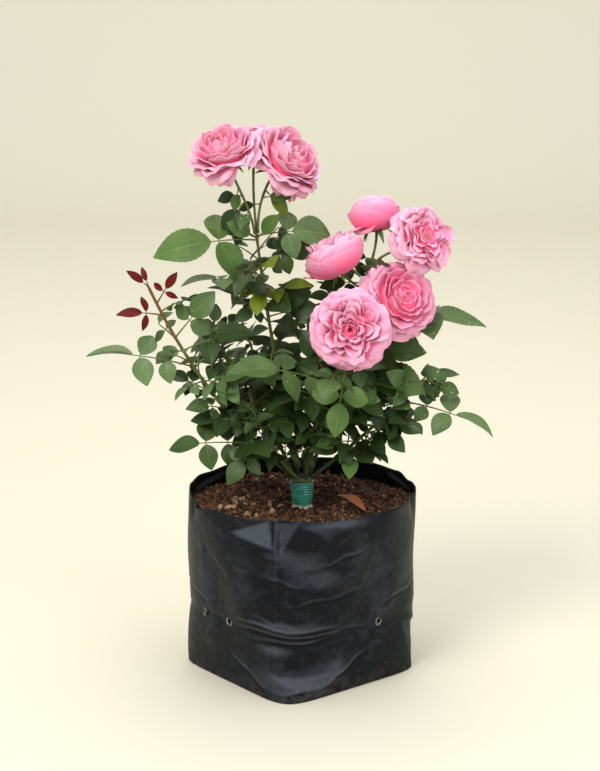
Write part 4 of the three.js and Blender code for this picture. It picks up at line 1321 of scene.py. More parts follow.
class ROSE_OT_prickles(Operator):
    """Set prickles along the canes"""
    bl_idname = "rose.prickles"
    bl_label = "Prickles"

    def execute(self, context):
        cane = context.scene.rose_cane
        places, looks = [], []
        for points, radii, _, number in cane_paths():
            if number >= FIRST_STALK or len(points) < LEAST_PRICKLED:
                continue
            run = unit(np.gradient(points, axis=0))
            draw = dice_for("prickles", number)
            reach = FIRST_PRICKLE
            reached = steps_of(points).cumsum()
            while reach < reached[-1] * 0.94:
                i = int(np.searchsorted(reached, reach))
                across = squared([0.2, 0.1, 1.0], run[i])
                out = turned(across, run[i], 2 * math.pi * draw())
                places.append((points[i] + out * radii[i] * 0.8) * MM)
                looks.append(unit(out - 0.35 * run[i]))
                reach += cane.prickle_step / MM * (0.6 + 0.9 * draw())
        growth = Growth("rose_prickles", length=cane.prickle, width=0.0009, seed=4,
                        material=cane_finish(cane))
        cone = growth.node("GeometryNodeMeshCone", {
            "Vertices": 6, "Side Segments": 3, "Radius Top": 0.00006,
            "Radius Bottom": growth.input("width"), "Depth": growth.input("length")})
        growth.finish(growth.instances(
            cone.outputs["Mesh"], Rotation=growth.looks(), Scale=growth.sizes(0.55, 1.15)))
        growth.grow(point_cloud("prickle_places", places, looks), "prickles", "cane")
        return {"FINISHED"}


# Grow bag
def bag_radius(bag, angle, z):
    """The solid bag's outer radius at angles and heights: square below, round above."""
    low = np.clip(1 - z / bag.height, 0, 1)
    power = 2 + (bag.square - 2) * low ** 2.2
    corner = bag.radius + (bag.corner - bag.radius) * low
    half = corner * 2 ** (1 / power) / math.sqrt(2)
    a = angle - bag.turn
    total = np.abs(np.cos(a)) ** power + np.abs(np.sin(a)) ** power
    crease = 0.0012 * bell(z - bag.crease_height, 0.007)
    return half / total ** (1 / power) - crease


def bag_shift(bag, z):
    """How far the bag's outline lies to the right at heights."""
    return -bag.shift * np.clip(1 - z / bag.height, 0, None)


def turn_between(angle, middle):
    """The signed angle from middle to angle, in radians."""
    return (angle - math.radians(middle) + math.pi) % (2 * math.pi) - math.pi


# Facets that the film makes where the soil leaves it: corners as angle and height in millimetres, how
# far the facet leans inwards to its top, and how much it gleams.
# The gleam of each facet is a painted highlight.
FACETS = [
    ([(231, 170), (254, 189), (257, 157)], 0.10, 0.55),
    ([(258, 187), (270, 189), (259, 150)], 0.05, 0.28),
    ([(270, 183), (300, 186), (283, 168)], 0.06, 0.12),
    ([(262, 132), (287, 140), (272, 96)], 0.05, 0.06),
    ([(249, 30), (298, 26), (283, 1)], 0.07, 0.26),
    ([(210, 150), (228, 120), (205, 100)], 0.04, 0.05),
    ([(312, 160), (330, 120), (300, 100)], 0.04, 0.06),
    ([(10, 178), (40, 184), (28, 140)], 0.06, 0.3),
    ([(80, 186), (108, 180), (92, 142)], 0.08, 0.4),
    ([(135, 182), (165, 176), (150, 130)], 0.07, 0.2),
    ([(60, 90), (95, 96), (74, 30)], 0.05, 0.15),
    ([(120, 60), (150, 52), (138, 14)], 0.06, 0.2),
    ([(340, 60), (5, 48), (350, 16)], 0.06, 0.12),
]
# Folds round the bag: angle of the middle, half the angle it covers, height, slope and depth.
FOLDS = [
    (268, 36, 67, -3, 1.6), (262, 30, 73, -5, 1.0), (272, 26, 61, 3, 0.9), (255, 12, 80, -9, 0.5),
    (92, 30, 64, 4, 1.4), (100, 22, 70, -5, 0.9), (20, 26, 62, 4, 1.1), (160, 24, 67, -4, 1.1),
    (275, 15, 9, 3, 1.6), (300, 12, 24, 26, 1.0), (238, 14, 20, -22, 0.9), (283, 16, 104, 9, 0.6),
    (262, 10, 122, -12, 0.5), (292, 12, 146, 14, 0.5), (70, 20, 120, 10, 0.6), (190, 14, 88, -10, 0.7),
    (340, 16, 92, 8, 0.7),
]
# Sharp folds down the bag from its rim: angle, height of their foot, and how far they stand out.
EDGES = [(256.7, 0, 0.5), (180.5, 50, 1.3), (2, 60, 1.2), (80, 0, 0.5)]
# Waves of the rim: angle, half width and rise.
RIM_WAVES = [
    (166, 7, -2.0), (205, 9, -6.0), (195, 4, -1.6), (18, 5, -2.6), (8, 5, -1.0), (28, 4, 1.0),
    (240, 12, -0.6), (256, 6, 0.9), (280, 12, -0.7), (310, 10, 0.8), (60, 12, 1.4), (90, 9, -1.0),
    (118, 10, 1.6), (146, 8, -1.4), (338, 8, -1.2),
]
# Tucks that the film makes at its rim: angle, half width and depth.
TUCKS = [(197, 4.5, 5.0), (346, 4, 3.5), (60, 6, 2.0), (130, 5, 2.5)]


def folds_round(angle, height):
    """Each fold round the bag: its depth, where it runs, and the height above it."""
    for middle, half, level, slope, depth in FOLDS:
        turn = turn_between(angle, middle) / math.radians(half)
        middle_line = level + slope * turn * 0.5 + 1.2 * np.sin(5 * turn + level)
        yield depth, np.exp(-turn ** 4), height - middle_line


def folds_down(bag, angle, height):
    """Each sharp fold down the bag: how far it stands out, where it runs, and the distance from it."""
    for middle, foot, stands in EDGES:
        window = ramp(height, foot - 12, foot + 12) if foot else 1.0
        yield stands, window, turn_between(angle, middle) * bag.radius / MM


def film_relief(bag, angle, z):
    """How far the film stands out from the smooth bag at angles and heights."""
    out = np.zeros(np.broadcast(angle, z).shape)
    draw = np.random.RandomState(11)
    for _ in range(22):
        across, up, phase = draw.randint(1, 13), draw.uniform(-70, 70), draw.uniform(0, 6.3)
        out += 0.00016 * np.sin(across * angle + up * z + phase)
    height = z / MM
    for depth, window, away in folds_round(angle, height):
        out -= depth * MM * window * (bell(away, 1.5) - 0.7 * bell(away - 3.4, 2.2))
    for stands, window, away in folds_down(bag, angle, height):
        out += stands * MM * window * (np.exp(-np.abs(away) / 1.6) - 0.6 * bell(away, 9))
    for middle, half, depth in TUCKS:
        out -= depth * MM * bell(turn_between(angle, middle), math.radians(half)) * ramp(height, 158, 186)
    for (corners, lean, _), inside in facet_masks(bag, angle, height):
        out -= inside * lean * MM * (height - min(z for _, z in corners))
    return out


def facet_masks(bag, angle, height):
    """Each facet with 1 at the angles and heights inside it and 0 outside."""
    for facet in FACETS:
        (a0, z0), (a1, z1), (a2, z2) = facet[0]
        x = turn_between(angle, a0) * bag.radius / MM
        y = height - z0
        x1, y1 = turn_between(math.radians(a1), a0) * bag.radius / MM, z1 - z0
        x2, y2 = turn_between(math.radians(a2), a0) * bag.radius / MM, z2 - z0
        whole = x1 * y2 - x2 * y1
        second, third = (x * y2 - x2 * y) / whole, (x1 * y - x * y1) / whole
        yield facet, ramp(np.minimum(np.minimum(second, third), 1 - second - third), -0.02, 0.08)


# The tone of smooth film.
SMOOTH_GLEAM = 0.33
# Soft painted highlights on the film: angle, half the angle they cover, height, half their height, and
# strength.
PAINTED_GLEAMS = [
    (262, 8, 152, 6, 0.30), (272, 9, 143, 9, 0.28), (283, 9, 126, 8, 0.22), (289, 13, 184, 4, 0.5),
    (256, 8, 54, 5, 0.45), (268, 22, 20, 14, 0.42), (292, 8, 30, 10, 0.35), (262, 16, 78, 5, 0.40),
    (240, 6, 120, 30, 0.12), (318, 10, 90, 40, 0.14), (300, 7, 150, 22, 0.18), (205, 7, 110, 50, 0.16),
    (95, 16, 120, 20, 0.35), (75, 9, 60, 16, 0.35), (140, 12, 100, 30, 0.25), (25, 10, 130, 30, 0.25),
]


def painted_film_gleam(bag, angle, z):
    """How much painted gleam the film gets at angles and heights, with painted shade along its folds."""
    height = z / MM
    painted_gleam = np.full(np.broadcast(angle, z).shape, SMOOTH_GLEAM)
    for middle, half, level, tall, strength in PAINTED_GLEAMS:
        turn = turn_between(angle, middle)
        painted_gleam += strength * bell(turn, math.radians(half)) * bell(height - level, tall)
    for depth, window, away in folds_round(angle, height):
        # A painted highlight above each fold, and painted shade in it.
        painted_gleam += min(1, depth) * window * (0.45 * bell(away - 3.2, 1.8) - 0.35 * bell(away, 1.6))
    for _, window, away in folds_down(bag, angle, height):
        # A painted highlight beside each sharp fold, and painted shade on its other side.
        high = 0.25 + 0.75 * ramp(height, 150, 165)
        painted_gleam += window * high * (0.30 * bell(away - 1.5, 1.6) - 0.3 * bell(away + 1, 1.2))
    for facet, inside in facet_masks(bag, angle, height):
        painted_gleam += facet[2] * inside
    return np.clip(painted_gleam, 0, 1)


def bag_rim(bag, angle):
    """The height of the rim at angles."""
    rise = 0.35 * np.sin(3 * angle + 0.6) + 0.25 * np.sin(7 * angle) + 0.12 * np.sin(17 * angle)
    for middle, half, high in RIM_WAVES:
        rise = rise + high * bell(turn_between(angle, middle), math.radians(half))
    return bag.height + (rise + 0.3) * MM


def bag_wall(bag, angles, heights, inset):
    """Places on the film at an inset from its outer face, by height share and angle."""
    top = bag_rim(bag, angles)
    z = heights[:, None] * top[None, :]
    flare = ramp(heights, 0.93, 1.0)[:, None] * 0.0006 * np.sin(9 * angles + 1)
    radius = bag_radius(bag, angles, z) + film_relief(bag, angles, z) * ramp(z, 0, 0.008) + flare - inset
    return rings(radius, angles, z, bag_shift(bag, z))


# Angles of the drain holes, the tone of the film's inner face, and the film's mesh: places round it, and
# its rows as shares of the height, closer at the foot.
HOLE_ANGLES = (200, 222.5, 321, 39, 137.5, 160)
# The inner face's low tone is painted shade inside the bag.
INNER_PAINTED_SHADE = 0.06
BAG_SPOKES = 252
BAG_ROWS = np.concatenate([[0.004, 0.012, 0.024], np.linspace(0.04, 1, 92)])


def hole_place(bag, angle):
    """The middle of a drain hole and the direction it looks in."""
    a, z = np.array(math.radians(angle)), bag.hole_height
    radius = float(bag_radius(bag, a, z) + film_relief(bag, a, z))
    look = heading(angle, 0)
    return look * radius + (bag_shift(bag, z), 0, z), look


class ROSE_OT_bag(Operator):
    """Loft the film bag with its folds, facets and drain holes"""
    bl_idname = "rose.bag"
    bl_label = "Grow bag"

    def execute(self, context):
        bag = context.scene.rose_bag
        angles = round_angles(BAG_SPOKES)
        outer = bag_wall(bag, angles, BAG_ROWS, 0.0)
        inner = bag_wall(bag, angles, BAG_ROWS[::-1][:-3], bag.film)
        inner[:, :, 2] = np.maximum(inner[:, :, 2], bag.film)
        under = [outer[0] * (part, part, 0) for part in (0.0, 0.35, 0.7, 0.92, 0.985)]
        inside = [inner[-1] * (part, part, 0) + (0, 0, bag.film) for part in (0.95, 0.6, 0.0)]
        grid = np.concatenate([under, outer, inner, inside])
        # The tone carries the painted gleam, and the inner face gets painted shade.
        painted_gleam = painted_film_gleam(bag, angles, grid[:, :, 2])
        painted_gleam[len(under) + len(outer):] = INNER_PAINTED_SHADE
        piece = loft("bag", grid, film_finish(bag), "film", "grow_bag", painted_gleam.ravel())
        self.punch(bag, piece)
        return {"FINISHED"}

    @staticmethod
    def punch(bag, piece):
        """Cuts the drain holes through the film."""
        pins = Bundle()
        for angle in HOLE_ANGLES:
            middle, look = hole_place(bag, angle)
            verts, pin_faces, _ = tube([middle - look * 0.006, middle + look * 0.006], bag.hole_radius, 20)
            pins.add(verts, pin_faces)
        cutter = add_object("hole_pins", pins.mesh("hole_pins"))
        modifier = piece.modifiers.new("holes", "BOOLEAN")
        modifier.object = cutter
        modifier.operation = "DIFFERENCE"
        modifier.solver = "EXACT"
        mesh = evaluated_mesh(piece)
        piece.modifiers.remove(modifier)
        piece.data = mesh
        bpy.data.objects.remove(cutter)


class ROSE_OT_eyelets(Operator):
    """Set the raised ring of melted film round each drain hole"""
    bl_idname = "rose.eyelets"
    bl_label = "Eyelets"

    def execute(self, context):
        bag = context.scene.rose_bag
        places, looks = zip(*(hole_place(bag, angle) for angle in HOLE_ANGLES))
        finish = Finish("eyelet_film", bag.film_colour, 0.5)
        finish.base(finish.mix((0.030, 0.032, 0.035), (0.15, 0.145, 0.13), finish.span(
            finish.noise(420, 3), 0.4, 0.62)))
        growth = Growth("rose_eyelets", radius=bag.hole_radius + 0.0011, thick=0.0012,
                        material=finish.material)
        ring, bead = (
            growth.node("GeometryNodeCurvePrimitiveCircle", {
                "Resolution": count, "Radius": growth.input(key)})
            for count, key in ((28, "radius"), (8, "thick")))
        torus = growth.node("GeometryNodeCurveToMesh", {
            "Curve": ring.outputs[0], "Profile Curve": bead.outputs[0]})
        growth.finish(growth.instances(torus.outputs[0], Rotation=growth.looks()))
        growth.grow(point_cloud("eyelet_places", places, looks), "eyelets", "film")
        return {"FINISHED"}


# Potting mix
# How far its side stays inside the bag, and the heights of its side's rings.
SOIL_GAP = 0.0065
SOIL_LEVELS = (0.15, 0.11, 0.07, 0.03, 0.002)
# Finishes of what lies on it: the setting of the colour, and the grain.
CRUMB_LOOKS = {
    "dark": ("soil_colour", SOIL_GRAIN), "red": ("red_colour", SOIL_GRAIN),
    "tan": ("tan_colour", SOIL_GRAIN), "pebble": ("pebble_colour", 260),
}
# What lies on it: finish, the setting of its size and a factor, pieces on a square metre, seed, how flat.
# Then, where it isn't as for the others, how finely it is divided, the middle and reach of its patch in
# millimetres, and how rough it is.
STREWN = {
    "crumbs_dark": ("dark", "crumb", 1, 28000.0, 1, 0.9),
    "crumbs_red": ("red", "crumb", 1.05, 30000.0, 2, 0.9),
    "crumbs_tan": ("tan", "crumb", 0.7, 16000.0, 3, 0.6),
    "bark_chips": ("red", "chip", 1, 5200.0, 4, 0.4),
    "bark_chips_dark": ("dark", "chip", 1, 3600.0, 5, 0.5),
    "bark_chips_tan": ("tan", "chip", 0.8, 1500.0, 7, 0.35),
    "pebbles": ("pebble", "pebble", 1, 4600.0, 6, 0.8, 2, (-52, -10, 34, 34), 0.25),
}


def soil_height(soil, part, angle):
    """The soil's level at shares of the bag's radius and angles."""
    dish = np.clip((part - 0.13) / 0.87, 0, 1)
    bumps = 0.0016 * np.sin(3 * angle + 9 * part) * (part > 0.2) * (part < 1)
    small = 0.0011 * np.sin(11 * angle + 23 * part) * np.sin(31 * part + 4 * angle) * (part > 0.15)
    edge = soil.edge - 0.0085 * np.clip(np.sin(angle) + 0.15, 0, 1) ** 0.7
    return soil.middle + (edge - soil.middle) * dish ** 1.3 + bumps + small


def soil_top(context, rows=46, spokes=150, most=1.0):
    """A grid of places on the soil, from the middle out to a share of the way to the film."""
    bag, soil = context.scene.rose_bag, context.scene.rose_soil
    angles = round_angles(spokes)
    parts = np.linspace(0.0, most, rows)[:, None]
    edge = bag_radius(bag, angles, soil.edge) + film_relief(bag, angles, soil.edge) - bag.film - 0.0003
    return rings(parts * edge, angles, soil_height(soil, parts, angles))


class ROSE_OT_soil(Operator):
    """Fill the bag with potting mix"""
    bl_idname = "rose.soil"
    bl_label = "Potting mix"

    def execute(self, context):
        soil, bag = context.scene.rose_soil, context.scene.rose_bag
        top = soil_top(context)
        angles = round_angles(top.shape[1])
        sides = [rings(bag_radius(bag, angles, z) - SOIL_GAP, angles, z, bag_shift(bag, z))
                 for z in SOIL_LEVELS]
        grid = np.concatenate([top, sides, [sides[-1] * (0, 0, 1)]])[::-1]
        loft("potting_mix", grid, soil_finish("soil_bed", soil.soil_colour), "soil", "potting_soil")
        return {"FINISHED"}


def scatter(context, name, material, size, density, seed, squash, subdivisions=1, patch=None,
            jag=2.2):
    """Rough lumps strewn on the soil, each one its own shape, as a piece."""
    top = soil_top(context, 34, 110, 0.985)[3:]
    faces = grid_faces(len(top), top.shape[1], wrap=True)
    if patch is not None:
        middle, reach = np.array(patch[:2]) * MM, np.array(patch[2:]) * MM
        centres = top.reshape(-1, 3)[[f[0] for f in faces]][:, :2]
        keep = (((centres - middle) / reach) ** 2).sum(axis=1) < 1
        faces = [f for f, kept in zip(faces, keep) if kept]
    mesh = bpy.data.meshes.new(name + "_ground")
    mesh.from_pydata(top.reshape(-1, 3).tolist(), [], [f[::-1] for f in faces])
    ground = add_object(name + "_ground", mesh)
    growth = Growth("rose_" + name, size=size, density=density, seed=seed, material=material)
    points = growth.node("GeometryNodeDistributePointsOnFaces", {
        "Mesh": growth.geometry, "Density": growth.input("density"), "Seed": growth.input("seed")})
    lump = growth.node("GeometryNodeMeshIcoSphere", {
        "Radius": growth.input("size"), "Subdivisions": subdivisions})
    turn = growth.node("FunctionNodeRandomValue", {
        0: (0, 0, 0), 1: (6.28, 6.28, 6.28), "Seed": growth.input("seed")}, data_type="FLOAT_VECTOR")
    shape = growth.node("FunctionNodeRandomValue", {
        0: (0.5, 0.5, 0.5 * squash), 1: (1.6, 1.25, 1.1 * squash), "Seed": seed + 1},
        data_type="FLOAT_VECTOR")
    lumps = growth.instances(
        lump.outputs["Mesh"], points.outputs["Points"], Rotation=turn.outputs[0], Scale=shape.outputs[0])
    real = growth.node("GeometryNodeRealizeInstances", {"Geometry": lumps})
    grain = growth.node("ShaderNodeTexNoise", {"Scale": 0.55 / size, "Detail": 1.0},
                        noise_dimensions="3D")
    centred = growth.node("ShaderNodeVectorMath", {0: grain.outputs["Color"], 1: (0.5, 0.5, 0.5)},
                          operation="SUBTRACT")
    offset = growth.node("ShaderNodeVectorMath", {0: centred.outputs[0], "Scale": size * jag},
                         operation="SCALE")
    rough = growth.node("GeometryNodeSetPosition", {
        "Geometry": real.outputs[0], "Offset": offset.outputs[0]})
    growth.finish(rough.outputs[0])
    growth.grow(ground, name, "soil")


class ROSE_OT_crumbs(Operator):
    """Strew crumbs, bark chips, pebbles and one fallen leaf on the soil"""
    bl_idname = "rose.crumbs"
    bl_label = "Crumbs"

    def execute(self, context):
        soil = context.scene.rose_soil
        finishes = {
            key: soil_finish("crumb_" + key, getattr(soil, tint), grain)
            for key, (tint, grain) in CRUMB_LOOKS.items()}
        for name, (finish, size, factor, *measures) in STREWN.items():
            scatter(context, name, finishes[finish], getattr(soil, size) * factor, *measures)
        self.fallen_leaf(leaf_finish("leaf_fallen", soil.fallen_colour, 0.6, 0.6))
        return {"FINISHED"}

    @staticmethod
    def fallen_leaf(finish):
        """One dry leaf on the right of the stock."""
        root, tip = np.array([37.0, 4.0, 179.0]), np.array([64.0, -46.0, 177.5])
        aim = unit(tip - root)
        normal = squared([0.1, -0.4, 1.0], aim)
        verts, flat_map = blade(root, aim, normal, long=56, width=0.29, curl=0.02, fold=0.30, twist=-0.5)
        bundle = Bundle()
        bundle.add(verts * MM, BLADE_FACES, 0, flat_map)
        bundle.piece("fallen_leaf", [finish], "soil", crease=LEAF_CREASE)


# Stock and tape
# Height of the tape's middle, where the stock stays plain, of the head's middle and of the head's crown.
TAPE_MIDDLE = 0.1837
HEAD_MIDDLE = 0.1977
HEAD_CROWN = [(0.006, 0.2005), (0, 0.2008)]


class ROSE_OT_stock(Operator):
    """Build the rootstock with its swollen head"""
    bl_idname = "rose.stock"
    bl_label = "Rootstock"

    def execute(self, context):
        stock, soil = context.scene.rose_stock, context.scene.rose_soil
        foot = soil.middle + 0.0003
        z = np.concatenate([
            np.linspace(foot, stock.tape_low, 9), np.linspace(stock.tape_low, stock.tape_high, 10)[1:],
            np.linspace(stock.tape_high, STOCK_TOP * MM, 9)[1:]])
        flare = 0.0026 * np.exp(-(z - foot) / 0.0022)
        waist = stock.low + (stock.high - stock.low) * ramp(z, stock.tape_low, stock.tape_high) - 0.0003
        swell = (stock.head - stock.high) * bell(z - HEAD_MIDDLE, 0.0014)
        profile = [(0, foot), *zip(waist + flare + swell, z), *HEAD_CROWN]
        angles = round_angles(40)
        grid = []
        for radius, height in profile:
            free = ramp(abs(height - TAPE_MIDDLE), 0.0115, 0.0135)
            wave = free * (0.05 * np.sin(3 * angles + 1) + 0.03 * np.sin(8 * angles + 900 * height))
            grid.append(rings(radius * (1 + wave), angles, height))
        loft("stock", np.array(grid), bark_finish(stock), "bark", "rootstock")
        return {"FINISHED"}


class ROSE_OT_tape(Operator):
    """Wind the green tape round the graft"""
    bl_idname = "rose.tape"
    bl_label = "Grafting tape"

    def execute(self, context):
        stock = context.scene.rose_stock
        angles = round_angles(72)
        part = np.linspace(0, 1, 60)[:, None]
        z = stock.tape_low + (stock.tape_high - stock.tape_low) * part
        z = z + 0.00035 * np.sin(2 * angles + 0.8) * (1 - 2 * part) ** 3
        seat = stock.low + (stock.high - stock.low) * part + 0.0003
        turns = ((z - stock.tape_low) / stock.tape_pitch - angles / (2 * math.pi)) % 1
        lap = 0.00055 * (1 - turns) ** 0.6 * ramp(part, 0.02, 0.1)
        bunch = 0.00022 * np.sin(2400 * z + 3 * angles) * ramp(part, 0.25, 0.5)
        outer = seat + 0.0011 + lap + bunch
        skin = rings(outer, angles, z)
        grid = np.concatenate([skin, rings(seat, angles, z)[::-1], skin[:1]])
        loft("tape", grid, tape_finish(stock), "tape", "grafting_tape")
        return {"FINISHED"}


# Blossoms
PETAL_ROWS, PETAL_COLUMNS = 11, 15
# Shares across and along a petal, and its map.
ACROSS = np.linspace(-1, 1, PETAL_COLUMNS)[None, :]
ALONG = np.linspace(0, 1, PETAL_ROWS)[:, None]
PETAL_MAP = np.stack(np.broadcast_arrays(0.5 + 0.5 * ACROSS, ALONG), axis=-1)
# The tone of a blossom's deep heart, partly painted shade between the petals, and the number of sepals.
HEART_TONE = 0.12
SEPALS = 5


def petal_faces():
    """Faces of a petal's closed sheet, and which are its outer face."""
    rows, columns = PETAL_ROWS, PETAL_COLUMNS
    count = rows * columns
    inner = grid_faces(rows, columns)
    outer = [tuple(count + i for i in f[::-1]) for f in inner]
    border = [r * columns for r in range(rows)][::-1] + list(range(1, columns))
    border += [r * columns + columns - 1 for r in range(1, rows)]
    border += [(rows - 1) * columns + c for c in range(columns - 2, 0, -1)]
    rim = [(b, a, a + count, b + count) for a, b in zip(border, border[1:] + border[:1])]
    return inner + outer + rim, np.array([0] * len(inner) + [1] * len(outer) + [0] * len(rim))


PETAL_FACES, PETAL_OUTER = petal_faces()


def petal_sheet(reach, height, belly, lift, width, cup, roll, pale, draw, foot, stray, rounded):
    """One petal in radii of its blossom: places as (out, across, up) on a grid, and tones.

    Its rim is notched, rounded off at its corners, waved, and rolled outwards.
    """
    u, v = ACROSS, ALONG
    notch = (0.03 + 0.07 * draw()) * min(1, 0.3 + stray)
    lop = 0.5 * (draw() - 0.5)
    ragged = 0.02 * stray * np.sin(8 * u + 6.3 * draw())
    s = v * (1 - rounded * np.abs(u) ** 2.8 - (notch * bell(u - lop, 0.2) + ragged) * v ** 3)
    half = width * (0.18 + 0.82 * np.sin(math.pi / 2 * np.minimum(1, v / 0.75)) ** 0.9)
    half = half * (1 - 0.10 * ramp(v, 0.75, 1.0))
    curve = [foot, (belly, lift), (reach, height)]
    line = bezier(curve, s)
    slope = unit(bezier(curve, s + 0.01) - line)
    normal = np.stack([-slope[..., 1], slope[..., 0]], axis=-1)
    bow = max(cup, 0.05) * (0.55 + 0.45 * v)
    across = half / bow * np.sin(u * bow)
    raised = half / bow * (1 - np.cos(u * bow))
    wave = (0.04 + 0.08 * stray) * width * np.sin(3.4 * u + 6.3 * draw()) * v ** 2
    wave = wave + (0.02 + 0.05 * stray) * width * np.sin(8.5 * u + 6.3 * draw()) * v ** 3
    edge = np.maximum(np.abs(u) ** 3 * v, v ** 5)
    lifted = raised + wave - roll * width * ramp(edge, 0.45, 1.0) - 0.02 * width * bell(u, 0.2)
    out = line[..., 0] + normal[..., 0] * lifted
    up = line[..., 1] + normal[..., 1] * lifted
    # Deep at the foot, partly painted shade between the petals; pale at the rim, partly a painted
    # highlight.
    tone = np.clip(pale * (0.12 + 0.88 * ramp(s, 0.1, 0.85)) + 0.26 * edge * s, 0, 1)
    return np.stack([out, across, up], axis=-1), tone


def petal_plan(name):
    """Every petal of a blossom: its turn about the axis in degrees, and its measures."""
    lie = BLOSSOMS[name].lie
    draw = dice_for("petals", list(BLOSSOMS).index(name))
    petals = []
    for ring, (count, reach, height, belly, lift, width, cup, roll, pale) in enumerate(PETAL_RINGS[lie]):
        for i in range(count):
            turn = 360 * (i + 0.5 * (ring % 2)) / count + 14 * (draw() - 0.5) + 11 * ring
            petals.append((turn, (
                reach * (0.96 + 0.07 * draw()), height + 0.08 * (draw() - 0.5),
                belly, lift + 0.05 * (draw() - 0.5), width * (0.92 + 0.16 * draw()),
                cup * (0.8 + 0.4 * draw()), roll * (0.6 + 0.8 * draw()), pale + 0.16 * (draw() - 0.5),
                LIES[lie].rounded)))
    nests, depth, wide, narrow, high = PETAL_NESTS.get(lie, (0, 0, 0, 0, 0))
    for i in range(nests):
        swing, scale = 20 * (draw() - 0.5), 0.85 + 0.3 * draw()
        for k in range(depth):
            part = k / (depth - 1)
            reach = (wide + (narrow - wide) * part) * (0.95 + 0.1 * draw())
            turn = 360 * i / nests + swing + 22 * (draw() - 0.5)
            petals.append((turn, (
                reach, high + 0.10 * part + 0.06 * (draw() - 0.5), reach * 0.86, high - 0.12,
                (0.45 - 0.20 * part) * scale, 1.45 + 0.4 * draw(), 0.30,
                0.70 - 0.16 * part + 0.2 * (draw() - 0.5), 0.22)))
        for k in range(2):
            reach = wide - 0.14 - 0.26 * k
            petals.append((360 * (i + 0.5) / nests + 20 * (draw() - 0.5), (
                reach, high, wide - 0.22 - 0.26 * k, high - 0.14, 0.18, 1.1, 0.12, 0.62, 0.24)))
    low = 0.4 if lie in ("cup", "globe") else 0
    for turn, tilt, long in HANGING.get(name, ()):
        a = math.radians(tilt)
        petals.append((turn, (
            long * math.cos(a), long * math.sin(a), 0.60 + low, -0.12 - low, 0.56, 0.4, 0.10, 0.7, 0.36)))
    return petals


def shell_sheet(size, reach, wide, tall, pale, draw):
    """One petal on a round shell, in the same terms as petal_sheet."""
    u, v = ACROSS, ALONG
    lop = 0.5 * (draw() - 0.5)
    s = v * (1 - 0.42 * np.abs(u - 0.3 * lop) ** 2.2 - 0.05 * bell(u - lop, 0.2) * v ** 3)
    edge = np.maximum(np.abs(u) ** 5 * v ** 0.5, v ** 6)
    turn = wide * u * (0.3 + 0.7 * np.sin(math.pi / 2 * np.minimum(1, v / 0.5)))
    climb = math.pi * (0.14 + (reach - 0.14) * s)
    wave = 0.03 * np.sin(4.5 * u + 6.3 * draw()) * v ** 3
    out = size * (1 + 0.03 * u + 0.045 * edge) * np.sin(climb) + wave
    rise = -tall * size * np.cos(climb)
    # Its rim is paler, partly as a painted highlight.
    tone = np.clip(pale * s ** 1.5 + 0.42 * edge, 0, 1)
    return rings(out, turn, rise), tone


def grow_blossom(name, thickness):
    """All petals of a blossom as one bundle, in metres."""
    middle, facing, right, up, radius, _ = blossom_frame(name)
    bundle = Bundle()
    draw = dice_for("sheets", list(BLOSSOMS).index(name))
    lie, calyx = BLOSSOMS[name].lie, CALYX_HEIGHT[BLOSSOMS[name].form]
    foot = (0.06, calyx + 0.1)
    stray, _, heart_radius, heart_top = LIES[lie]
    sheets = []
    for ring, (count, *measures) in enumerate(SHELLS.get(lie, ())):
        for i in range(count):
            sheets.append((360 * i / count + 50 * ring + 16 * draw(), 0, *shell_sheet(*measures, draw)))
    for turn, measures in petal_plan(name):
        places, tone = petal_sheet(*measures[:-1], draw, foot, stray, measures[-1])
        roll, lean = 0.5 * stray * (draw() - 0.5), 0.22 * stray * (draw() - 0.5)
        out, across, rise = np.moveaxis(places, -1, 0)
        across, rise = across * math.cos(roll) - rise * math.sin(roll), rise + across * math.sin(roll)
        out, rise = out - rise * math.sin(lean), rise + out * math.sin(lean)
        places = np.stack([out, across + 0.07 * stray * (draw() - 0.5), rise], axis=-1)
        sheets.append((turn, PETAL_OUTER, places, tone))
    both = np.concatenate([PETAL_MAP.reshape(-1, 2)] * 2)
    for turn, look, places, tone in sheets:
        outwards, sideways = around(right, up, turn)
        sheet = middle + radius * (
            places[..., :1] * outwards + places[..., 1:2] * sideways + places[..., 2:] * facing)
        normal = unit(np.cross(np.gradient(sheet, axis=1), np.gradient(sheet, axis=0)))
        half = 0.5 * thickness / MM
        inner, outer = sheet + normal * half, sheet - normal * half
        if np.dot(normal.mean(axis=(0, 1)), facing + outwards * -0.8) < 0:
            inner, outer = outer, inner
        verts = np.concatenate([inner.reshape(-1, 3), outer.reshape(-1, 3)])
        bundle.add(verts * MM, PETAL_FACES, look, both, np.tile(tone.ravel(), 2))
    low = calyx + 0.06
    t = np.linspace(0.02, math.pi - 0.02, 13)
    heights = 0.5 * (low + heart_top) - 0.5 * (heart_top - low) * np.cos(t)
    spine = [middle + facing * radius * height for height in heights]
    verts, faces, _ = tube(spine, radius * heart_radius * np.sin(t) ** 0.8, 28)
    bundle.add(verts * MM, faces, 0, tone=HEART_TONE)
    if lie in EYES:
        wide, top, _ = EYES[lie]
        spine = [middle + facing * radius * (top + (0.02 - top) * s) for s in (1.0, 0.5, 0.15, 0.0)]
        verts, faces, _ = tube(spine, radius * wide * np.array([1.0, 1.0, 0.8, 0.3]), 9)
        bundle.add(verts * MM, faces, 2, tone=0.5)
    return bundle


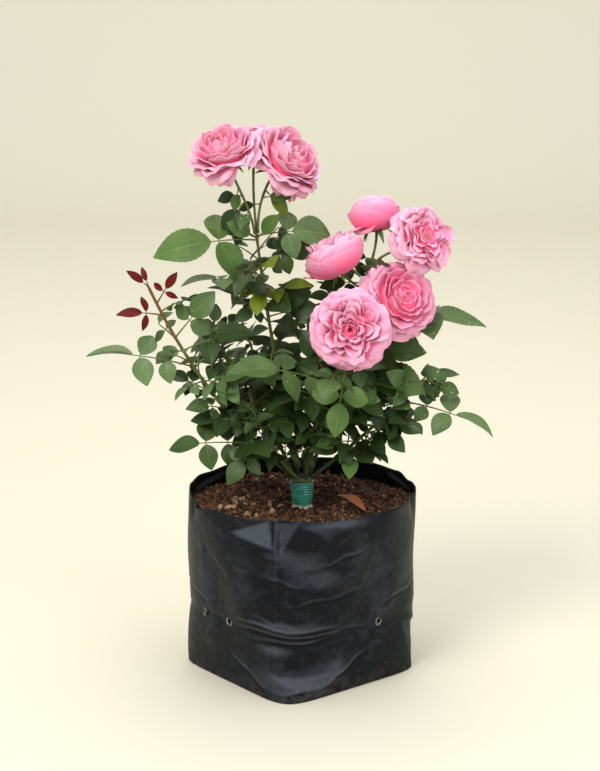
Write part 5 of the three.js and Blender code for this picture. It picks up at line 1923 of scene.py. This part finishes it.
class ROSE_OT_blossoms(Operator):
    """Grow the petals of every blossom"""
    bl_idname = "rose.blossoms"
    bl_label = "Blossoms"

    def execute(self, context):
        petal = context.scene.rose_petal
        between = [0.5 * (a + b) for a, b in zip(petal.under, petal.light)]
        inner = petal_finish("petal_inner", petal, (
            (0.0, petal.deep), (0.26, petal.mid), (0.58, petal.light), (0.95, petal.rim)))
        outer = petal_finish("petal_outer", petal, (
            (0.0, petal.under), (0.4, between), (0.95, petal.rim)))
        for name, blossom in BLOSSOMS.items():
            bundle = grow_blossom(name, petal.thickness)
            finishes = [inner, outer]
            if blossom.lie in EYES:
                finishes.append(soil_finish("eye_" + name, EYES[blossom.lie][2]))
            bundle.piece("petals_" + name, finishes, "petal", ["blossom_" + name], crease=LEAF_CREASE)
        return {"FINISHED"}


class ROSE_OT_calyces(Operator):
    """Grow the hip and the sepals behind every blossom"""
    bl_idname = "rose.calyces"
    bl_label = "Calyces"

    def execute(self, context):
        petal = context.scene.rose_petal
        bundle = Bundle()
        for index, name in enumerate(BLOSSOMS):
            middle, facing, right, up, radius, _ = blossom_frame(name)
            draw = dice_for("calyces", index)
            seat = middle + facing * (CALYX_HEIGHT[BLOSSOMS[name].form] * radius + 2.0)
            t = np.linspace(0, 1, 9)
            swell = 1.5 + 2.6 * np.sin(math.pi * np.clip(t * 0.9 + 0.05, 0, 1)) ** 0.8
            verts, faces, _ = tube([seat + facing * 8.5 * s for s in t - 0.35], swell, 12)
            bundle.add(verts * MM, faces, 0)
            for i in range(SEPALS):
                out, _ = around(right, up, 360 * i / SEPALS + 20 * draw())
                aim = unit(out * (0.75 + 0.3 * draw()) - facing * (0.55 + 0.5 * draw()))
                verts, flat_map = blade(
                    seat + facing * 3 + out * 2.2, aim, squared(facing, aim), long=18 + 7 * draw(),
                    width=0.22, curl=0.25 * draw(), fold=0.3, twist=0.1)
                bundle.add(verts * MM, BLADE_FACES, 0, flat_map)
        bundle.piece("calyces", [leaf_finish("calyx_green", petal.calyx, 0.55)], "leaf", crease=LEAF_CREASE)
        return {"FINISHED"}


# Stage
# Size of the camera's sensor in millimetres, where it stands, and how far it sees.
SENSOR = 36
VIEWPOINT = (-0.002, -2.133, 0.834)
VIEW_REACH = 30
# Reach of the floor to the sides, to the front and up, where its bend starts, and the bend's radius.
FLOOR = dict(side=5, front=-4, top=4.0, foot=2.6, curve=0.9)
PLANT = (0, 0, 0.3)
# Lamps: place, target, size, power and tint.
LAMPS = {
    "key": ((-1.1, -1.7, 2.3), PLANT, 1.3, 62, (1.0, 0.97, 0.93)),
    "fill": ((1.6, -1.8, 1.1), PLANT, 1.6, 21, (0.93, 0.97, 1.0)),
    "top": ((0.2, 0.4, 2.6), PLANT, 1.8, 31, (1.0, 0.98, 0.95)),
    "backdrop": ((0.0, 1.8, 3.2), (0, 3.4, 0.5), 1.6, 32, (1.0, 0.98, 0.95)),
}
SKY = {"Color": (0.95, 0.97, 1.0, 1), "Strength": 0.80}


class ROSE_OT_stage(Operator):
    """Set the floor, the lights and the camera"""
    bl_idname = "rose.stage"
    bl_label = "Stage"

    def execute(self, context):
        stage = context.scene.rose_stage
        self.floor(stage)
        self.lights()
        camera = add_object("camera", bpy.data.cameras.new("camera"))
        camera.data.lens = SENSOR * stage.focal
        camera.data.clip_end = VIEW_REACH
        camera.location = VIEWPOINT
        camera.rotation_euler = (math.pi / 2 - stage.tilt, 0, 0)
        context.scene.camera = camera
        context.scene.view_settings.view_transform = "Standard"
        return {"FINISHED"}

    @staticmethod
    def floor(stage):
        """A pale floor that sweeps up into a backdrop."""
        foot, curve = FLOOR["foot"], FLOOR["curve"]
        bend = [(FLOOR["front"], 0), (foot, 0)]
        for a in np.linspace(0.08, math.pi / 2, 20):
            bend.append((foot + curve * math.sin(a), curve - curve * math.cos(a)))
        bend.append((foot + curve, FLOOR["top"]))
        verts = [(x, y, z) for y, z in bend for x in (-FLOOR["side"], FLOOR["side"])]
        mesh = bpy.data.meshes.new("floor")
        mesh.from_pydata(verts, [], [(i, i + 1, i + 3, i + 2) for i in range(0, len(verts) - 2, 2)])
        mesh.polygons.foreach_set("use_smooth", np.full(len(mesh.polygons), True))
        finish = Finish("cream_floor", stage.floor_colour, 0.9, Specular_IOR_Level=0.1)
        mesh.materials.append(finish.material)
        add_object("floor", mesh)

    @staticmethod
    def lights():
        """A broad key from the upper left front, a fill, a soft sky and a light on the backdrop."""
        world = bpy.data.worlds.new("sky")
        world.use_nodes = True
        for key, value in SKY.items():
            world.node_tree.nodes["Background"].inputs[key].default_value = value
        bpy.context.scene.world = world
        for name, (place, target, size, power, tint) in LAMPS.items():
            lamp = bpy.data.lights.new(name, "AREA")
            lamp.shape = "DISK"
            lamp.size = size
            lamp.energy = power
            lamp.color = tint
            holder = add_object(name, lamp)
            holder.location = place
            aim = unit(np.array(target) - np.array(place))
            pitch = math.acos(-aim[2])
            holder.rotation_euler = (pitch, 0, math.atan2(aim[1], aim[0]) - math.pi / 2)


PIECES = (
    ROSE_OT_bag, ROSE_OT_eyelets, ROSE_OT_soil, ROSE_OT_crumbs, ROSE_OT_stock, ROSE_OT_tape, ROSE_OT_canes,
    ROSE_OT_prickles, ROSE_OT_leaves, ROSE_OT_blossoms, ROSE_OT_calyces, ROSE_OT_stage,
)


class ROSE_PT_panel(Panel):
    """The settings and the steps of the rose"""
    bl_label = "Potted patio rose"
    bl_idname = "ROSE_PT_panel"
    bl_space_type = "VIEW_3D"
    bl_region_type = "UI"
    bl_category = "Rose"

    def draw(self, context):
        for key, group in SETTINGS.items():
            box = self.layout.box()
            for name in group.__annotations__:
                box.prop(getattr(context.scene, key), name)
        for operator in PIECES:
            self.layout.operator(operator.bl_idname)


CLASSES = (*SETTINGS.values(), *PIECES, ROSE_PT_panel)


def register():
    """Adds the settings, the operators and the panel."""
    for each in CLASSES:
        bpy.utils.register_class(each)
    for key, group in SETTINGS.items():
        setattr(bpy.types.Scene, key, PointerProperty(type=group))


def unregister():
    """Takes them away again."""
    for key in SETTINGS:
        delattr(bpy.types.Scene, key)
    for each in reversed(CLASSES):
        bpy.utils.unregister_class(each)


def main():
    """Builds every piece in order."""
    register()
    for operator in PIECES:
        group, action = operator.bl_idname.split(".")
        getattr(getattr(bpy.ops, group), action)()


if __name__ == "__main__":
    main()
